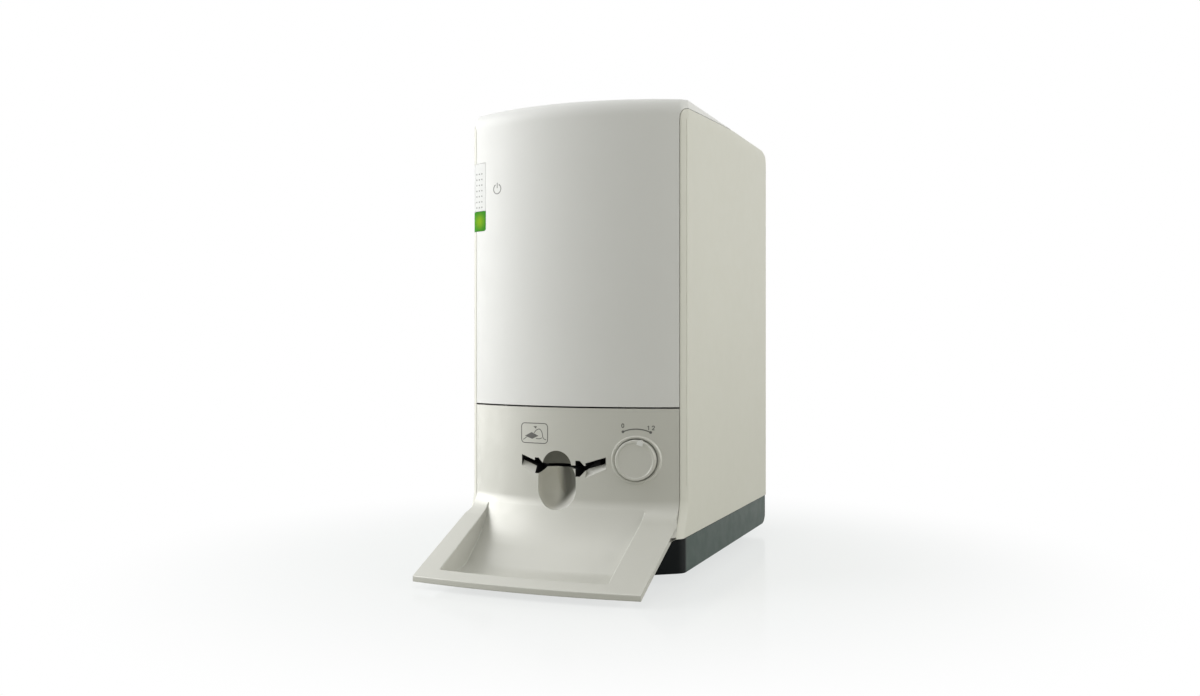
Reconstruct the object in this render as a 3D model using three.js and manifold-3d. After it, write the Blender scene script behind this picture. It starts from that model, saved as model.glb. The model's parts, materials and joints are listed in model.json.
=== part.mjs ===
// Phosphor plate scanner, table-top, for intraoral plates.
// Millimetres, +Z up, front towards -Y. The origin is the middle of the footprint, on the table.
// Inside this file Y is counted from the front corners of the case until the last lines shift it.
import * as THREE from "three";
import { mergeVertices } from "three/addons/utils/BufferGeometryUtils.js";
import Module from "manifold-3d";

const wasm = await Module();
wasm.setup();

// Case
const caseWidth = 138;
const caseHeight = 276;
const caseDepth = 200;
const bowDepth = 15;
const cheekWidth = 4;
const wall = 2.5;
const topRoll = 6;
const rearTopRadius = 15;
const frontCornerRun = 2.5;
const rearCornerRadius = 5;
const seamGap = 0.3;
const hoodSeamGap = 0.7;
const hoodSeamHeight = 98.3;
const cheekBottom = 25.3;
const roofSplitRun = 110;
const rearSeamDrop = 18;
const cheekFlare = 9.5;
const cheekFlareTop = 52;
const cheekFlareBend = 1.5;
const cheekFlareBendHeight = 40;
const cheekRib = 12;
const flankReach = 21;
const overrun = 30;
const mergeTolerance = 1e-4;
const partGap = 0.3;
const runningGap = 0.2;

// Lower panel and catch tray, t is counted forward from the wall
const flareTop = 46;
const flareTurn = 12;
const trayReach = 71;
const trayFront = 76.5;
const trayBow = 5;
const trayInset = 2;
const traySlope = THREE.MathUtils.degToRad(24);
const trayWidenStart = 7;
const trayWidenEnd = 11;
const lipBottom = 3.6;
const lipThickness = 3.3;
const lipRound = 1;
const lipInner = 8;
const ledgeThickness = 3;
const plateCentreX = -3;
const pocketMargin = 17;
const pocketStart = 1.5;
const pocketTop = 41.3;
const pocketCrest = 6.4;
const pocketCrestHeight = 36.2;
const pocketBack = 8.2;
const pocketBackHeight = 27.5;
const pocketFoot = 10.2;
const pocketFootHeight = 18.2;
const pocketTurn = 16;
const pocketFlat = 38;
const pocketFloor = 5.9;
const pocketEnd = 61.5;
const pocketWallLean = 1.5;
const tubWall = 2.2;
const skin = 0.8;
const lipSkin = 1.2;

// Slot and finger recess
const slotHeight = 64.2;
const slitOpening = 1.3;
const wingLeft = -28.4;
const wingRight = 25;
const wingRise = 3.2;
const wingOpening = 5.8;
const wingInnerLeft = -19;
const wingInnerRight = 13;
const throatMargin = 3;
const throatHalfHeight = 8.5;
const throatBack = -1.6;
const scoopShift = -2;
const scoopRadius = 12.1;
const scoopBottom = 40;
const scoopTop = 73.3;
const scoopWall = 1.8;
const notchHalfHeight = 4.6;
const notchLength = 7;
const notchArm = 2.6;
const notchLeft = -19.4;
const notchRight = 6.4;

// Size dial
const dialInset = 27;
const dialHeight = 69.1;
const dialTilt = THREE.MathUtils.degToRad(9);
const dialPointer = THREE.MathUtils.degToRad(17);
const dialRadius = 12.1;
const dialProud = 3.8;
const dialEdge = 0.6;
const dialTabWidth = 2.9;
const dialTabReach = 1.1;
const dialTabDepth = 3;
const dishRadius = 14;
const dishFloorRadius = 13;
const dishDepth = 4;
const dishWall = 3.5;
const dishRim = 1.8;
const shaftRadius = 3;
const shaftTip = 2;
const shaftSocket = 4;
const washerRadius = 6;
const washerThickness = 1.2;
const pinionModule = 0.85;
const pinionTeeth = 10;
const pinionWidth = 6;
const pinionSetback = 4.21;
const toothShare = 0.36;
const toothTipShare = 0.18;
const toothRootShare = 0.54;
const dedendumShare = 1.25;

// Plate guides
const guideFront = 0.8;
const guideBack = 8.3;
const guideOpening = 28.6;
const guideGrooveDepth = 3.5;
const guideGrooveHalf = 2.2;
const guideBody = 5;
const guideHalfHeight = 4.9;
const guideRailRadius = 1.5;
const slotRailDrop = 9;
const slotRailRise = 13.6;
const dialRailDrop = 13.9;
const dialRailRise = 8.7;
const guideRailShift = 1.25;
const guideBarHalf = 3;
const guideBarRun = 7.8;
const rackRun = 9;
const rackBacking = 2.2;
const rackInset = 0.5;

// Guide carrier and light seals
const carrierFront = 9.4;
const carrierBack = 12;
const carrierLeftInset = 16;
const carrierEnd = 7.2;
const carrierDrop = 7.2;
const carrierRise = 6.2;
const carrierThroat = 35;
const carrierThroatHalf = 1.9;
const carrierLug = 3.5;
const carrierLugFront = 2.6;
const sealDepth = 2.6;
const sealHeight = 3;
const sealGap = 1.2;
const sealHalf = 19;

// Chassis
const chassisTop = 27.5;
const chassisSheet = 1.5;
const chassisInset = 9;
const chassisFront = 9;
const chassisRearGap = 10;
const chassisTab = 8;
const frameSheet = 2;
const frameInset = 21;
const frameStep = 150;
const frameStepY = 58;
const frameTopGap = 14;
const frameRearGap = 21;

// Base and feet
const baseTop = 25;
const baseBottom = 5.5;
const baseFront = 22;
const baseFrontInset = 24;
const baseSideStart = 4;
const baseCorner = 3;
const baseRearInset = 4;
const baseRearRadius = 10;
const baseWall = 2.5;
const bossRadius = 4;
const footRadius = 8;
const footTaper = 1;
const footInset = 19;
const footFrontY = 22;
const footRearInset = 32;

// Status strip
const stripWidth = 12.2;
const stripDrop = 30.6;
const stripWindowHeight = 29.2;
const stripLensHeight = 12.3;
const stripReach = 4;
const statusBoardThickness = 1.6;
const statusBoardMargin = 5;
const statusBoardInset = 6.4;
const statusBoardWidth = 20.6;
const statusBoardY = 2.2;

// Plate transport
const nipGap = 0.15;
const driveRadius = 7;
const pinchRadius = 4;
const pinchCore = 1.5;
const driveCore = 2.5;
const rollerHalf = 17;
const frontRollerY = 24;
const rearRollerY = 52;
const bedDrop = 0.8;
const bedThickness = 3.4;
const bedFront = 15.2;
const bedRear = 112;
const bedWindow = 1;
const bedRim = 6;
const pulleyRadius = 8;
const pulleyWidth = 6;
const pulleyFlange = 1;
const pulleyFlangeWidth = 0.8;
const beltThickness = 1.4;
const motorY = 94;
const motorHeight = 43.5;
const motorSide = 28;
const motorLength = 26;
const motorCorner = 3;
const motorPulleyRadius = 5;
const motorShaftRadius = 2.5;
const motorShaftDepth = 5;

// Optics
const deckBottom = 128;
const deckSheet = 3;
const deckFront = 18;
const deckRear = 150;
const scanLineY = 38;
const scanSlitWidth = 6;
const mirrorHeight = 16;
const mirrorThickness = 2;
const mirrorHalf = 20;
const lensY = 78;
const lensHalf = 22;
const lensHeight = 12;
const lensEdge = 6;
const lensCrown = 5;
const polygonY = 112;
const polygonRadius = 13;
const polygonFaces = 8;
const polygonHeight = 6;
const polygonMotorRadius = 14;
const polygonMotorHeight = 9;
const polygonBoardHalf = 18;
const polygonBoard = 1.6;
const spindleRadius = 2;
const laserInset = 10;
const laserY = 100;
const laserRadius = 6;
const laserLength = 26;
const laserBlock = 16;
const collectorWidth = 46;
const collectorTop = 16;
const collectorLength = 30;
const collectorThickness = 4;
const collectorLift = 4.5;
const collectorLean = THREE.MathUtils.degToRad(45);
const tubeRadius = 10;
const tubeLength = 30;
const tubeBlock = 14;
const eraserY = 92;
const eraserDepth = 14;
const eraserLift = 12;
const eraserBoard = 1.6;
const eraserLamps = 5;
const eraserLampSize = 5;
const eraserLampHeight = 2;

// Electronics
const mainBoardBottom = 70;
const mainBoardDrop = 46;
const mainBoardFront = 70;
const mainBoardRearGap = 22;
const mainBoardThickness = 1.6;
const standoff = 5;
const standoffRadius = 2.5;
const boardEdge = 6;
const chipSize = 16;
const chipHeight = 2.5;
const shelfDrop = 80;
const shelfFront = 72;
const shelfRearGap = 20;
const supplyMargin = 5;
const supplyHeight = 34;
const supplyVents = 6;
const supplyVentWidth = 2;
const supplyVentDepth = 2;

// Fan
const fanX = -3;
const fanDrop = 50;
const fanSide = 50;
const fanDepth = 12;
const fanBore = 23;
const fanHub = 9;
const fanHubPin = 2.5;
const fanBlades = 7;
const fanBladeThickness = 1.4;
const fanSpokes = 3;
const fanSpokeWidth = 3;
const fanSpokeDepth = 2;

// Rear cover
const grilleSlots = 9;
const grilleSlot = 2.6;
const grillePitch = 4.8;
const grilleHalf = 21;
const lowVentInset = 27;
const lowVentHeight = 120;
const lowVentHalf = 12;
const lowVentSlots = 7;
const inletX = 26;
const inletHeight = 52;
const inletWidth = 28;
const inletTall = 22;
const inletDepth = 20;
const inletCavityWidth = 22;
const inletCavityTall = 15;
const inletCavityDepth = 15;
const inletPin = 2;
const inletPinLength = 10;
const inletPinPitch = 7;
const rearFlange = 1.5;
const rearFlangeRim = 2;
const switchX = -8;
const switchWidth = 20;
const switchTall = 14;
const switchDepth = 14;
const rockerWidth = 15;
const rockerTall = 9;
const rockerDepth = 7;
const rockerProud = 2;
const rockerTilt = THREE.MathUtils.degToRad(8);
const rockerPin = 1;
const socketX = -34;
const socketWidth = 18;
const socketTall = 15;
const socketDepth = 20;
const socketCavityWidth = 12;
const socketCavityTall = 8;
const socketCavityDepth = 12;
const screwInset = 13;
const screwHeight = 36;
const screwHead = 3;
const screwShank = 1.5;
const screwHeadDepth = 1.4;
const screwLength = 13;

// Counts
const bowSteps = 18;
const cornerSteps = 3;
const rollSteps = 4;
const turnSteps = 4;
const fine = 32;
const round = 20;
const coarse = 12;

// Colours
const white = new THREE.MeshStandardMaterial({ color: 0xeeeeea, roughness: 0.45 });
const casing = new THREE.MeshStandardMaterial({ color: 0xd8d8ce, roughness: 0.5 });
const silver = new THREE.MeshStandardMaterial({ color: 0xc4c5be, roughness: 0.4 });
const plinth = new THREE.MeshStandardMaterial({ color: 0x44534f, roughness: 0.55 });
const black = new THREE.MeshStandardMaterial({ color: 0x141516, roughness: 0.6 });
const rubber = new THREE.MeshStandardMaterial({ color: 0x222426, roughness: 0.9 });
const steel = new THREE.MeshStandardMaterial({ color: 0xb4b8ba, roughness: 0.35, metalness: 0.9 });
const alloy = new THREE.MeshStandardMaterial({ color: 0xc6c9cb, roughness: 0.4, metalness: 0.8 });
const board = new THREE.MeshStandardMaterial({ color: 0x2f6a44, roughness: 0.6 });
const green = new THREE.MeshStandardMaterial({ color: 0x8cc020, roughness: 0.3 });
const frosted = new THREE.MeshStandardMaterial({ color: 0xf4f5f4, roughness: 0.35 });
const clear = new THREE.MeshStandardMaterial({ color: 0xd8e6ea, roughness: 0.1 });
const mirror = new THREE.MeshStandardMaterial({ color: 0xe4e8ea, roughness: 0.05, metalness: 1 });
const felt = new THREE.MeshStandardMaterial({ color: 0x1b1b1c, roughness: 1 });

// Worked-out sizes
const halfWidth = caseWidth / 2;
const halfChord = halfWidth - cheekWidth;
const bowRadius = halfChord ** 2 / (2 * bowDepth) + bowDepth / 2;
const bowCentreY = bowRadius - bowDepth;
const middleHalf = halfChord - seamGap / 2;
const cheekInner = halfChord + seamGap / 2;
const wide = [-halfWidth - overrun, halfWidth + overrun];
const deep = [-trayFront - overrun, caseDepth + overrun];
const tall = [-overrun, caseHeight + overrun];
const rearInner = caseDepth - wall;
const rearSeamHeight = caseHeight - rearSeamDrop;
const trayHalf = halfWidth - trayInset;
const pocketHalf = trayHalf - pocketMargin;
const dialX = halfWidth - dialInset;
const guideBarEnd = dialX + guideBarRun;
const carrierLeft = -halfWidth + carrierLeftInset;
const carrierRight = guideBarEnd + carrierEnd;
const chassisHalf = halfWidth - chassisInset;
const chassisRear = caseDepth - chassisRearGap;
const frameHalf = halfWidth - frameInset;
const frameTop = caseHeight - frameTopGap;
const frameRear = caseDepth - frameRearGap;
const frameLeft = plateCentreX - frameHalf;
const frameRight = plateCentreX + frameHalf;
const frameBottom = chassisTop + partGap;
const frameFront = carrierBack + partGap;
const spanInner = [frameLeft + frameSheet / 2 + partGap, frameRight - frameSheet / 2 - partGap];
const driveHeight = slotHeight - nipGap - driveRadius;
const pinchHeight = slotHeight + nipGap + pinchRadius;
const bedTop = slotHeight - bedDrop;
const bedBottom = bedTop - bedThickness;
const pinionRadius = (pinionModule * pinionTeeth) / 2;
const addendum = pinionModule;
const dedendum = dedendumShare * pinionModule;
const dialFrontY = frontY(dialX);
const pinionDepth = (carrierFront - pinionSetback - dialFrontY) / Math.cos(dialTilt);
const shaftLength = (carrierBack - dialFrontY) / Math.cos(dialTilt) - shaftTip * Math.tan(dialTilt);
const deckTop = deckBottom + deckSheet;
const baseFrontHalf = halfWidth - baseFrontInset;
const baseRear = caseDepth - baseRearInset;
const footX = halfWidth - footInset;
const footRearY = caseDepth - footRearInset;
const stripInnerX = -halfWidth + stripWidth;
const stripTop = caseHeight - stripDrop;
const stripSplit = stripTop - stripWindowHeight;
const stripBottom = stripSplit - stripLensHeight;
const laserX = frameRight - laserInset;
const mainBoardTop = caseHeight - mainBoardDrop;
const mainBoardRear = caseDepth - mainBoardRearGap;
const shelfBottom = caseHeight - shelfDrop;
const shelfRear = caseDepth - shelfRearGap;
const fanHeight = caseHeight - fanDrop;
const lowVentX = halfWidth - lowVentInset;
const screwX = halfWidth - screwInset;

// Helpers: solids, cuts and meshes
function solid(geometry, matrix) {
  const bare = new THREE.BufferGeometry();
  bare.setAttribute("position", geometry.getAttribute("position").clone());
  if (geometry.index) bare.setIndex(geometry.index.clone());
  if (matrix) bare.applyMatrix4(matrix);
  const merged = mergeVertices(bare, mergeTolerance);
  const from = merged.index.array;
  const kept = [];
  for (let i = 0; i < from.length; i += 3) {
    const [a, b, c] = [from[i], from[i + 1], from[i + 2]];
    if (a !== b && b !== c && c !== a) kept.push(a, b, c);
  }
  const vertProperties = merged.attributes.position.array;
  const make = (list) =>
    new wasm.Manifold(
      new wasm.Mesh({ numProp: 3, vertProperties, triVerts: new Uint32Array(list) }),
    );
  const made = make(kept);
  return made.volume() < 0 ? make(kept.reverse()) : made;
}

function join(first, ...rest) {
  return rest.reduce((sum, next) => sum.add(next), first);
}

function cut(first, ...rest) {
  return rest.reduce((left, next) => left.subtract(next), first);
}

function common(first, ...rest) {
  return rest.reduce((left, next) => left.intersect(next), first);
}

const root = new THREE.Group();

function add(name, body, material) {
  const data = body.getMesh();
  const geometry = new THREE.BufferGeometry();
  geometry.setAttribute("position", new THREE.BufferAttribute(data.vertProperties, 3));
  geometry.setIndex(new THREE.BufferAttribute(data.triVerts, 1));
  geometry.computeVertexNormals();
  const mesh = new THREE.Mesh(geometry, material);
  mesh.name = name;
  root.add(mesh);
}

function block(x, y, z, matrix) {
  const geometry = new THREE.BoxGeometry(x[1] - x[0], y[1] - y[0], z[1] - z[0]);
  geometry.translate((x[0] + x[1]) / 2, (y[0] + y[1]) / 2, (z[0] + z[1]) / 2);
  return solid(geometry, matrix);
}

const alongX = new THREE.Matrix4().makeBasis(
  new THREE.Vector3(0, 1, 0),
  new THREE.Vector3(0, 0, 1),
  new THREE.Vector3(1, 0, 0),
);
const alongY = new THREE.Matrix4().makeBasis(
  new THREE.Vector3(1, 0, 0),
  new THREE.Vector3(0, 0, 1),
  new THREE.Vector3(0, -1, 0),
);
const alongZ = new THREE.Matrix4();

function prism(points, from, to, way, matrix) {
  const shape = new THREE.Shape(points.map(([a, b]) => new THREE.Vector2(a, b)));
  const geometry = new THREE.ExtrudeGeometry(shape, { depth: to - from, bevelEnabled: false });
  geometry.translate(0, 0, from);
  geometry.applyMatrix4(way);
  return solid(geometry, matrix);
}

const prismX = (points, [from, to], matrix) => prism(points, from, to, alongX, matrix);
const prismY = (points, [from, to], matrix) => prism(points, -to, -from, alongY, matrix);
const prismZ = (points, [from, to], matrix) => prism(points, from, to, alongZ, matrix);

function circle(radius, sides, centreA = 0, centreB = 0) {
  return Array.from({ length: sides }, (_, i) => {
    const angle = (2 * Math.PI * i) / sides;
    return [centreA + radius * Math.cos(angle), centreB + radius * Math.sin(angle)];
  });
}

const rodX = (radius, span, y, z, sides = coarse, matrix = undefined) =>
  prismX(circle(radius, sides, y, z), span, matrix);
const rodY = (radius, x, span, z, sides = coarse, matrix = undefined) =>
  prismY(circle(radius, sides, x, z), span, matrix);
const rodZ = (radius, x, y, span, sides = coarse, matrix = undefined) =>
  prismZ(circle(radius, sides, x, y), span, matrix);

function bezier([ax, ay], [bx, by], [cx, cy], steps) {
  return Array.from({ length: steps }, (_, i) => {
    const u = (i + 1) / steps;
    const v = 1 - u;
    return [
      v * v * ax + 2 * u * v * bx + u * u * cx,
      v * v * ay + 2 * u * v * by + u * u * cy,
    ];
  });
}

// A polyline moved sideways, to its right when seen along its direction.
function beside(line, distance) {
  const normal = (p, q) => {
    const length = Math.hypot(q[0] - p[0], q[1] - p[1]);
    return [(q[1] - p[1]) / length, -(q[0] - p[0]) / length];
  };
  return line.map((p, i) => {
    const before = normal(line[Math.max(i - 1, 0)], line[Math.max(i, 1)]);
    const last = line.length - 1;
    const after = normal(line[Math.min(i, last - 1)], line[Math.min(i + 1, last)]);
    const size = 1 + before[0] * after[0] + before[1] * after[1];
    return [
      p[0] + (distance * (before[0] + after[0])) / size,
      p[1] + (distance * (before[1] + after[1])) / size,
    ];
  });
}

function loft(rings, outline) {
  const flat = outline.map(([a, b]) => new THREE.Vector2(a, b));
  if (THREE.ShapeUtils.isClockWise(flat)) {
    flat.reverse();
    rings.forEach((ring) => ring.reverse());
  }
  const count = flat.length;
  const index = [];
  for (let r = 0; r + 1 < rings.length; r++) {
    for (let i = 0; i < count; i++) {
      const a = r * count + i;
      const b = r * count + ((i + 1) % count);
      index.push(a, b, a + count, b, b + count, a + count);
    }
  }
  const last = (rings.length - 1) * count;
  for (const [a, b, c] of THREE.ShapeUtils.triangulateShape(flat, [])) {
    index.push(c, b, a, last + a, last + b, last + c);
  }
  const geometry = new THREE.BufferGeometry();
  geometry.setAttribute("position", new THREE.Float32BufferAttribute(rings.flat(2), 3));
  geometry.setIndex(index);
  return solid(geometry);
}

// Bowed front
function frontY(x, inset = 0) {
  return bowCentreY - Math.sqrt((bowRadius - inset) ** 2 - x ** 2);
}

function bowLine(from, to, inset, steps) {
  return Array.from({ length: steps + 1 }, (_, i) => {
    const x = from + ((to - from) * i) / steps;
    return [x, frontY(x, inset)];
  });
}

function bowedBlock(x, z, inset, backY, steps = coarse) {
  return prismZ([...bowLine(x[0], x[1], inset, steps), [x[1], backY], [x[0], backY]], z);
}

// Case shell, split into hood, side panels and rear cover
function casePlan(inset) {
  const half = halfWidth - inset;
  const edge = half - cheekWidth;
  const startY = frontY(edge, inset);
  const slope = edge / Math.sqrt((bowRadius - inset) ** 2 - edge ** 2);
  const bendY = startY + slope * cheekWidth;
  const back = caseDepth - inset;
  const backEnd = [half - rearCornerRadius, back];
  const right = [
    ...bezier([edge, startY], [half, bendY], [half, bendY + frontCornerRun], cornerSteps),
    [half, back - rearCornerRadius],
    ...bezier([half, back - rearCornerRadius], [half, back], backEnd, cornerSteps),
  ];
  const left = right.map(([x, y]) => [-x, y]).reverse();
  return [...bowLine(-edge, edge, inset, bowSteps), ...right, ...left];
}

function sideProfile(inset) {
  const back = caseDepth - inset;
  const top = caseHeight - inset;
  const radius = rearTopRadius - inset;
  return [
    [deep[0], tall[0]],
    [back, tall[0]],
    [back, top - radius],
    ...circle(radius, fine)
      .filter(([a, b]) => a > 0 && b > 0)
      .map(([a, b]) => [back - radius + a, top - radius + b]),
    [back - radius, top],
    [deep[0], top],
  ];
}

function envelope(inset) {
  const roll = topRoll - inset;
  const ring = (z, more) => casePlan(inset + more).map(([x, y]) => [x, y, z]);
  const rings = [ring(-inset, 0)];
  for (let i = 0; i <= rollSteps; i++) {
    const angle = (Math.PI / 2) * (i / rollSteps);
    const z = caseHeight - inset - roll + roll * Math.sin(angle);
    rings.push(ring(z, roll * (1 - Math.cos(angle))));
  }
  return common(loft(rings, casePlan(inset)), prismX(sideProfile(inset), wide));
}

function roofWedge(lowered) {
  const line = (y) => caseHeight - topRoll + (topRoll * y) / roofSplitRun - lowered;
  const start = -trayFront;
  const end = 2 * roofSplitRun;
  return prismX([[start, line(start)], [end, line(end)], [start, line(end)]], wide);
}

function stripSpace(bottom, top, shrink) {
  return block(
    [wide[0], stripInnerX - shrink],
    [deep[0], stripReach - shrink],
    [bottom + shrink, top - shrink],
  );
}

const shell = cut(envelope(0), envelope(wall));
const middle = block([-middleHalf, middleHalf], deep, tall);

function hood() {
  const kept = common(shell, join(middle, roofWedge(0)));
  const below = block(wide, deep, [tall[0], hoodSeamHeight + hoodSeamGap]);
  const behind = block(wide, [caseDepth / 2, deep[1]], [tall[0], rearSeamHeight]);
  return cut(kept, below, behind, stripSpace(stripBottom, stripTop, 0));
}

// The side panels reach forward at the bottom, this is the space they take there
const flareBend = [-cheekFlareBend, cheekFlareBendHeight];
const flareLine = [
  [0, cheekFlareTop],
  ...bezier([0, cheekFlareTop], flareBend, [-cheekFlare, cheekBottom], turnSteps),
];

function flareSpace(sign, gap) {
  const bendY = (halfChord * cheekWidth) / bowCentreY;
  const cornerEnd = [halfWidth, bendY + frontCornerRun];
  const corner = bezier([halfChord, 0], [halfWidth, bendY], cornerEnd, cornerSteps);
  const inner = cheekInner - gap;
  const outline = [[inner, 0], ...corner, [halfWidth, cheekRib], [inner, cheekRib]];
  const ring = (forward, z) =>
    outline.map(([x, y]) => [sign * x, y === cheekRib ? y : y + forward - gap, z]);
  const rings = flareLine.map(([forward, z]) => ring(forward, z));
  rings[rings.length - 1] = ring(-cheekFlare - gap, cheekBottom - gap);
  return loft(rings, outline.map(([x, y]) => [sign * x, y]));
}

function sidePanel(sign) {
  const outward = sign > 0 ? [cheekInner, wide[1]] : [wide[0], -cheekInner];
  const sheet = common(shell, block(outward, deep, [cheekBottom, tall[1]]));
  return cut(join(sheet, flareSpace(sign, 0)), roofWedge(seamGap), stripSpace(stripBottom, stripTop, 0));
}

// Slots of a vent, as one cutter
function ventSlots(x, z, half, slots, pitch) {
  const list = Array.from({ length: slots }, (_, i) => {
    const middleZ = z + (i - (slots - 1) / 2) * pitch;
    const span = [middleZ - grilleSlot / 2, middleZ + grilleSlot / 2];
    return block([x - half, x + half], [rearInner - overrun, deep[1]], span);
  });
  return join(...list);
}

function rearHole(x, z, width, height) {
  return block(
    [x - width / 2 - partGap, x + width / 2 + partGap],
    [rearInner - partGap, deep[1]],
    [z - height / 2 - partGap, z + height / 2 + partGap],
  );
}

function rearCover() {
  const rise = [cheekBottom, rearSeamHeight - seamGap];
  const zone = block([-middleHalf, middleHalf], [caseDepth / 2, deep[1]], rise);
  const shank = [rearInner - partGap, deep[1]];
  const head = [caseDepth - screwHeadDepth - runningGap, deep[1]];
  const screws = [-1, 1].map((sign) =>
    join(
      rodY(screwShank + partGap, sign * screwX, shank, screwHeight),
      rodY(screwHead + partGap, sign * screwX, head, screwHeight),
    ),
  );
  return cut(
    common(shell, zone),
    ventSlots(fanX, fanHeight, grilleHalf, grilleSlots, grillePitch),
    ventSlots(-lowVentX, lowVentHeight, lowVentHalf, lowVentSlots, grillePitch),
    ventSlots(lowVentX, lowVentHeight, lowVentHalf, lowVentSlots, grillePitch),
    rearHole(inletX, inletHeight, inletWidth, inletTall),
    rearHole(switchX, inletHeight, switchWidth, switchTall),
    rearHole(socketX, inletHeight, socketWidth, socketTall),
    ...screws,
  );
}

// Lower panel with tray
const slopeZ = (t, end, endZ) => endZ + (end - t) * Math.tan(traySlope);
const lipTop = lipBottom + lipThickness;
const ledgeZ = (t) => slopeZ(t, trayReach, lipTop);
const panelTop = hoodSeamHeight;
const ledgeTurn = bezier([0, flareTop], [0, ledgeZ(0)], [flareTurn, ledgeZ(flareTurn)], turnSteps);
const lipStart = trayReach - lipRound;
const ledgeLine = [[0, panelTop], [0, flareTop], ...ledgeTurn, [lipStart, ledgeZ(lipStart)]];
const floorZ = (t) => slopeZ(t, pocketFlat, pocketFloor);
const pocketMiddle = [pocketBack, pocketBackHeight];
const floorLine = [
  [pocketStart, pocketTop],
  ...bezier([pocketStart, pocketTop], [pocketCrest, pocketCrestHeight], pocketMiddle, turnSteps),
  ...bezier(pocketMiddle, [pocketFoot, pocketFootHeight], [pocketTurn, floorZ(pocketTurn)], turnSteps),
  [pocketFlat, pocketFloor],
  [pocketEnd, pocketFloor],
];

function trayLipY(x) {
  return -trayFront + trayBow * (x / trayHalf) ** 2;
}

function swept(t, x) {
  const wallY = frontY(x);
  return t > 0 ? wallY - (t * (wallY - trayLipY(x))) / trayReach : wallY - t;
}

// A profile of t and z carried along the bow between two places, widths may differ point by point.
function bowLoft(profile, placeX, steps) {
  const rings = Array.from({ length: steps + 1 }, (_, i) => {
    const u = i / steps;
    return profile.map(([t, z]) => {
      const x = placeX(t, u);
      return [x, swept(t, x), z];
    });
  });
  return loft(rings, profile);
}

function panelWidth(t, u) {
  const grow = THREE.MathUtils.clamp((t - trayWidenStart) / (trayWidenEnd - trayWidenStart), 0, 1);
  const half = middleHalf + (trayHalf - middleHalf) * grow;
  return half * (2 * u - 1);
}

function lowerPanelSheet() {
  const lipEnd = trayReach - lipInner;
  const under = beside([[0, flareTop], ...ledgeTurn, [lipEnd, ledgeZ(lipEnd)]], ledgeThickness);
  const profile = [
    ...ledgeLine,
    [trayReach, lipTop - lipRound],
    [trayReach, lipBottom + lipRound / 2],
    [trayReach - lipRound, lipBottom],
    [lipEnd, lipBottom],
    ...under.slice(1).reverse(),
    [-wall, flareTop],
    [-wall, panelTop],
  ];
  return bowLoft(profile, panelWidth, bowSteps);
}

function pocketWidth(margin) {
  return (t, u) => plateCentreX + (pocketHalf + margin) * (2 * u - 1);
}

function belowLedge() {
  const below = [[trayReach - lipSkin, -overrun], [-overrun, -overrun], [-overrun, panelTop]];
  return bowLoft([...beside(ledgeLine, skin), ...below], panelWidth, bowSteps);
}

function trayTub() {
  const end = pocketEnd + tubWall;
  const rim = [[end, pocketFloor - tubWall], [end, panelTop], [pocketStart - tubWall, panelTop]];
  const profile = [...beside(floorLine, tubWall), ...rim];
  return common(bowLoft(profile, pocketWidth(tubWall), coarse), belowLedge());
}

function pocketSpace() {
  const profile = [...floorLine, [pocketEnd + pocketWallLean, panelTop], [pocketStart, panelTop]];
  return bowLoft(profile, pocketWidth(0), coarse);
}

// Everything above the outside of the tub, for pieces that lie under it
function tubClearance(gap) {
  const grown = tubWall + gap;
  const end = pocketEnd + grown + gap;
  const rim = [[end, pocketFloor - grown], [end, panelTop], [pocketStart - grown, panelTop]];
  return bowLoft([...beside(floorLine, grown), ...rim], pocketWidth(grown), coarse);
}

// The flanks close the tray's sides down to the base beside the side panels
function trayFlank(sign) {
  const inner = middleHalf - tubWall;
  const outline = [[-flankReach, cheekBottom], [0, cheekBottom], [0, flareTop], [-flankReach, flareTop]];
  const span = sign > 0 ? [inner, trayHalf] : [-trayHalf, -inner];
  return common(prismX(outline, span), belowLedge());
}

const scoopX = plateCentreX + scoopShift;

function scoop(grown) {
  const radius = scoopRadius + grown;
  const length = scoopTop - scoopBottom - 2 * scoopRadius;
  const geometry = new THREE.CapsuleGeometry(radius, length, turnSteps, round);
  geometry.rotateX(Math.PI / 2);
  geometry.translate(scoopX, frontY(scoopX), (scoopTop + scoopBottom) / 2);
  return solid(geometry);
}

const toSlotBack = [deep[0], throatBack + overrun];
const wingEndZ = slotHeight + wingRise;
const halfWing = wingOpening / 2;

function slotCut() {
  const slitSpan = [slotHeight - slitOpening / 2, slotHeight + slitOpening / 2];
  const slit = block([notchLeft, notchRight + notchLength], toSlotBack, slitSpan);
  const leftWing = prismY(
    [
      [wingLeft, wingEndZ - halfWing],
      [wingInnerLeft, slotHeight - halfWing],
      [wingInnerLeft, slotHeight + halfWing],
      [wingLeft, wingEndZ + halfWing],
    ],
    toSlotBack,
  );
  const rightWing = prismY(
    [
      [wingInnerRight, slotHeight - halfWing],
      [wingRight, wingEndZ - halfWing],
      [wingRight, wingEndZ + halfWing],
      [wingInnerRight, slotHeight + halfWing],
    ],
    toSlotBack,
  );
  const notches = [notchLeft, notchRight].map((x) =>
    prismY(
      [
        [x, slotHeight - notchHalfHeight],
        [x + notchArm, slotHeight - notchHalfHeight],
        [x + notchLength, slotHeight],
        [x + notchArm, slotHeight + notchHalfHeight],
        [x, slotHeight + notchHalfHeight],
      ],
      toSlotBack,
    ),
  );
  return join(slit, leftWing, rightWing, ...notches);
}

const dialPlace = new THREE.Matrix4()
  .makeRotationZ(dialTilt)
  .setPosition(dialX, dialFrontY, dialHeight);

function dialDish() {
  const floor = circle(dishFloorRadius, fine).map(([x, z]) => [x, dishDepth, z]);
  const mouth = circle(dishRadius, fine).map(([x, z]) => [x, 0, z]);
  const out = circle(dishRadius, fine).map(([x, z]) => [x, -overrun, z]);
  const dish = loft([out, mouth, floor], circle(dishRadius, fine));
  return dish.transform(dialPlace.elements);
}

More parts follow.
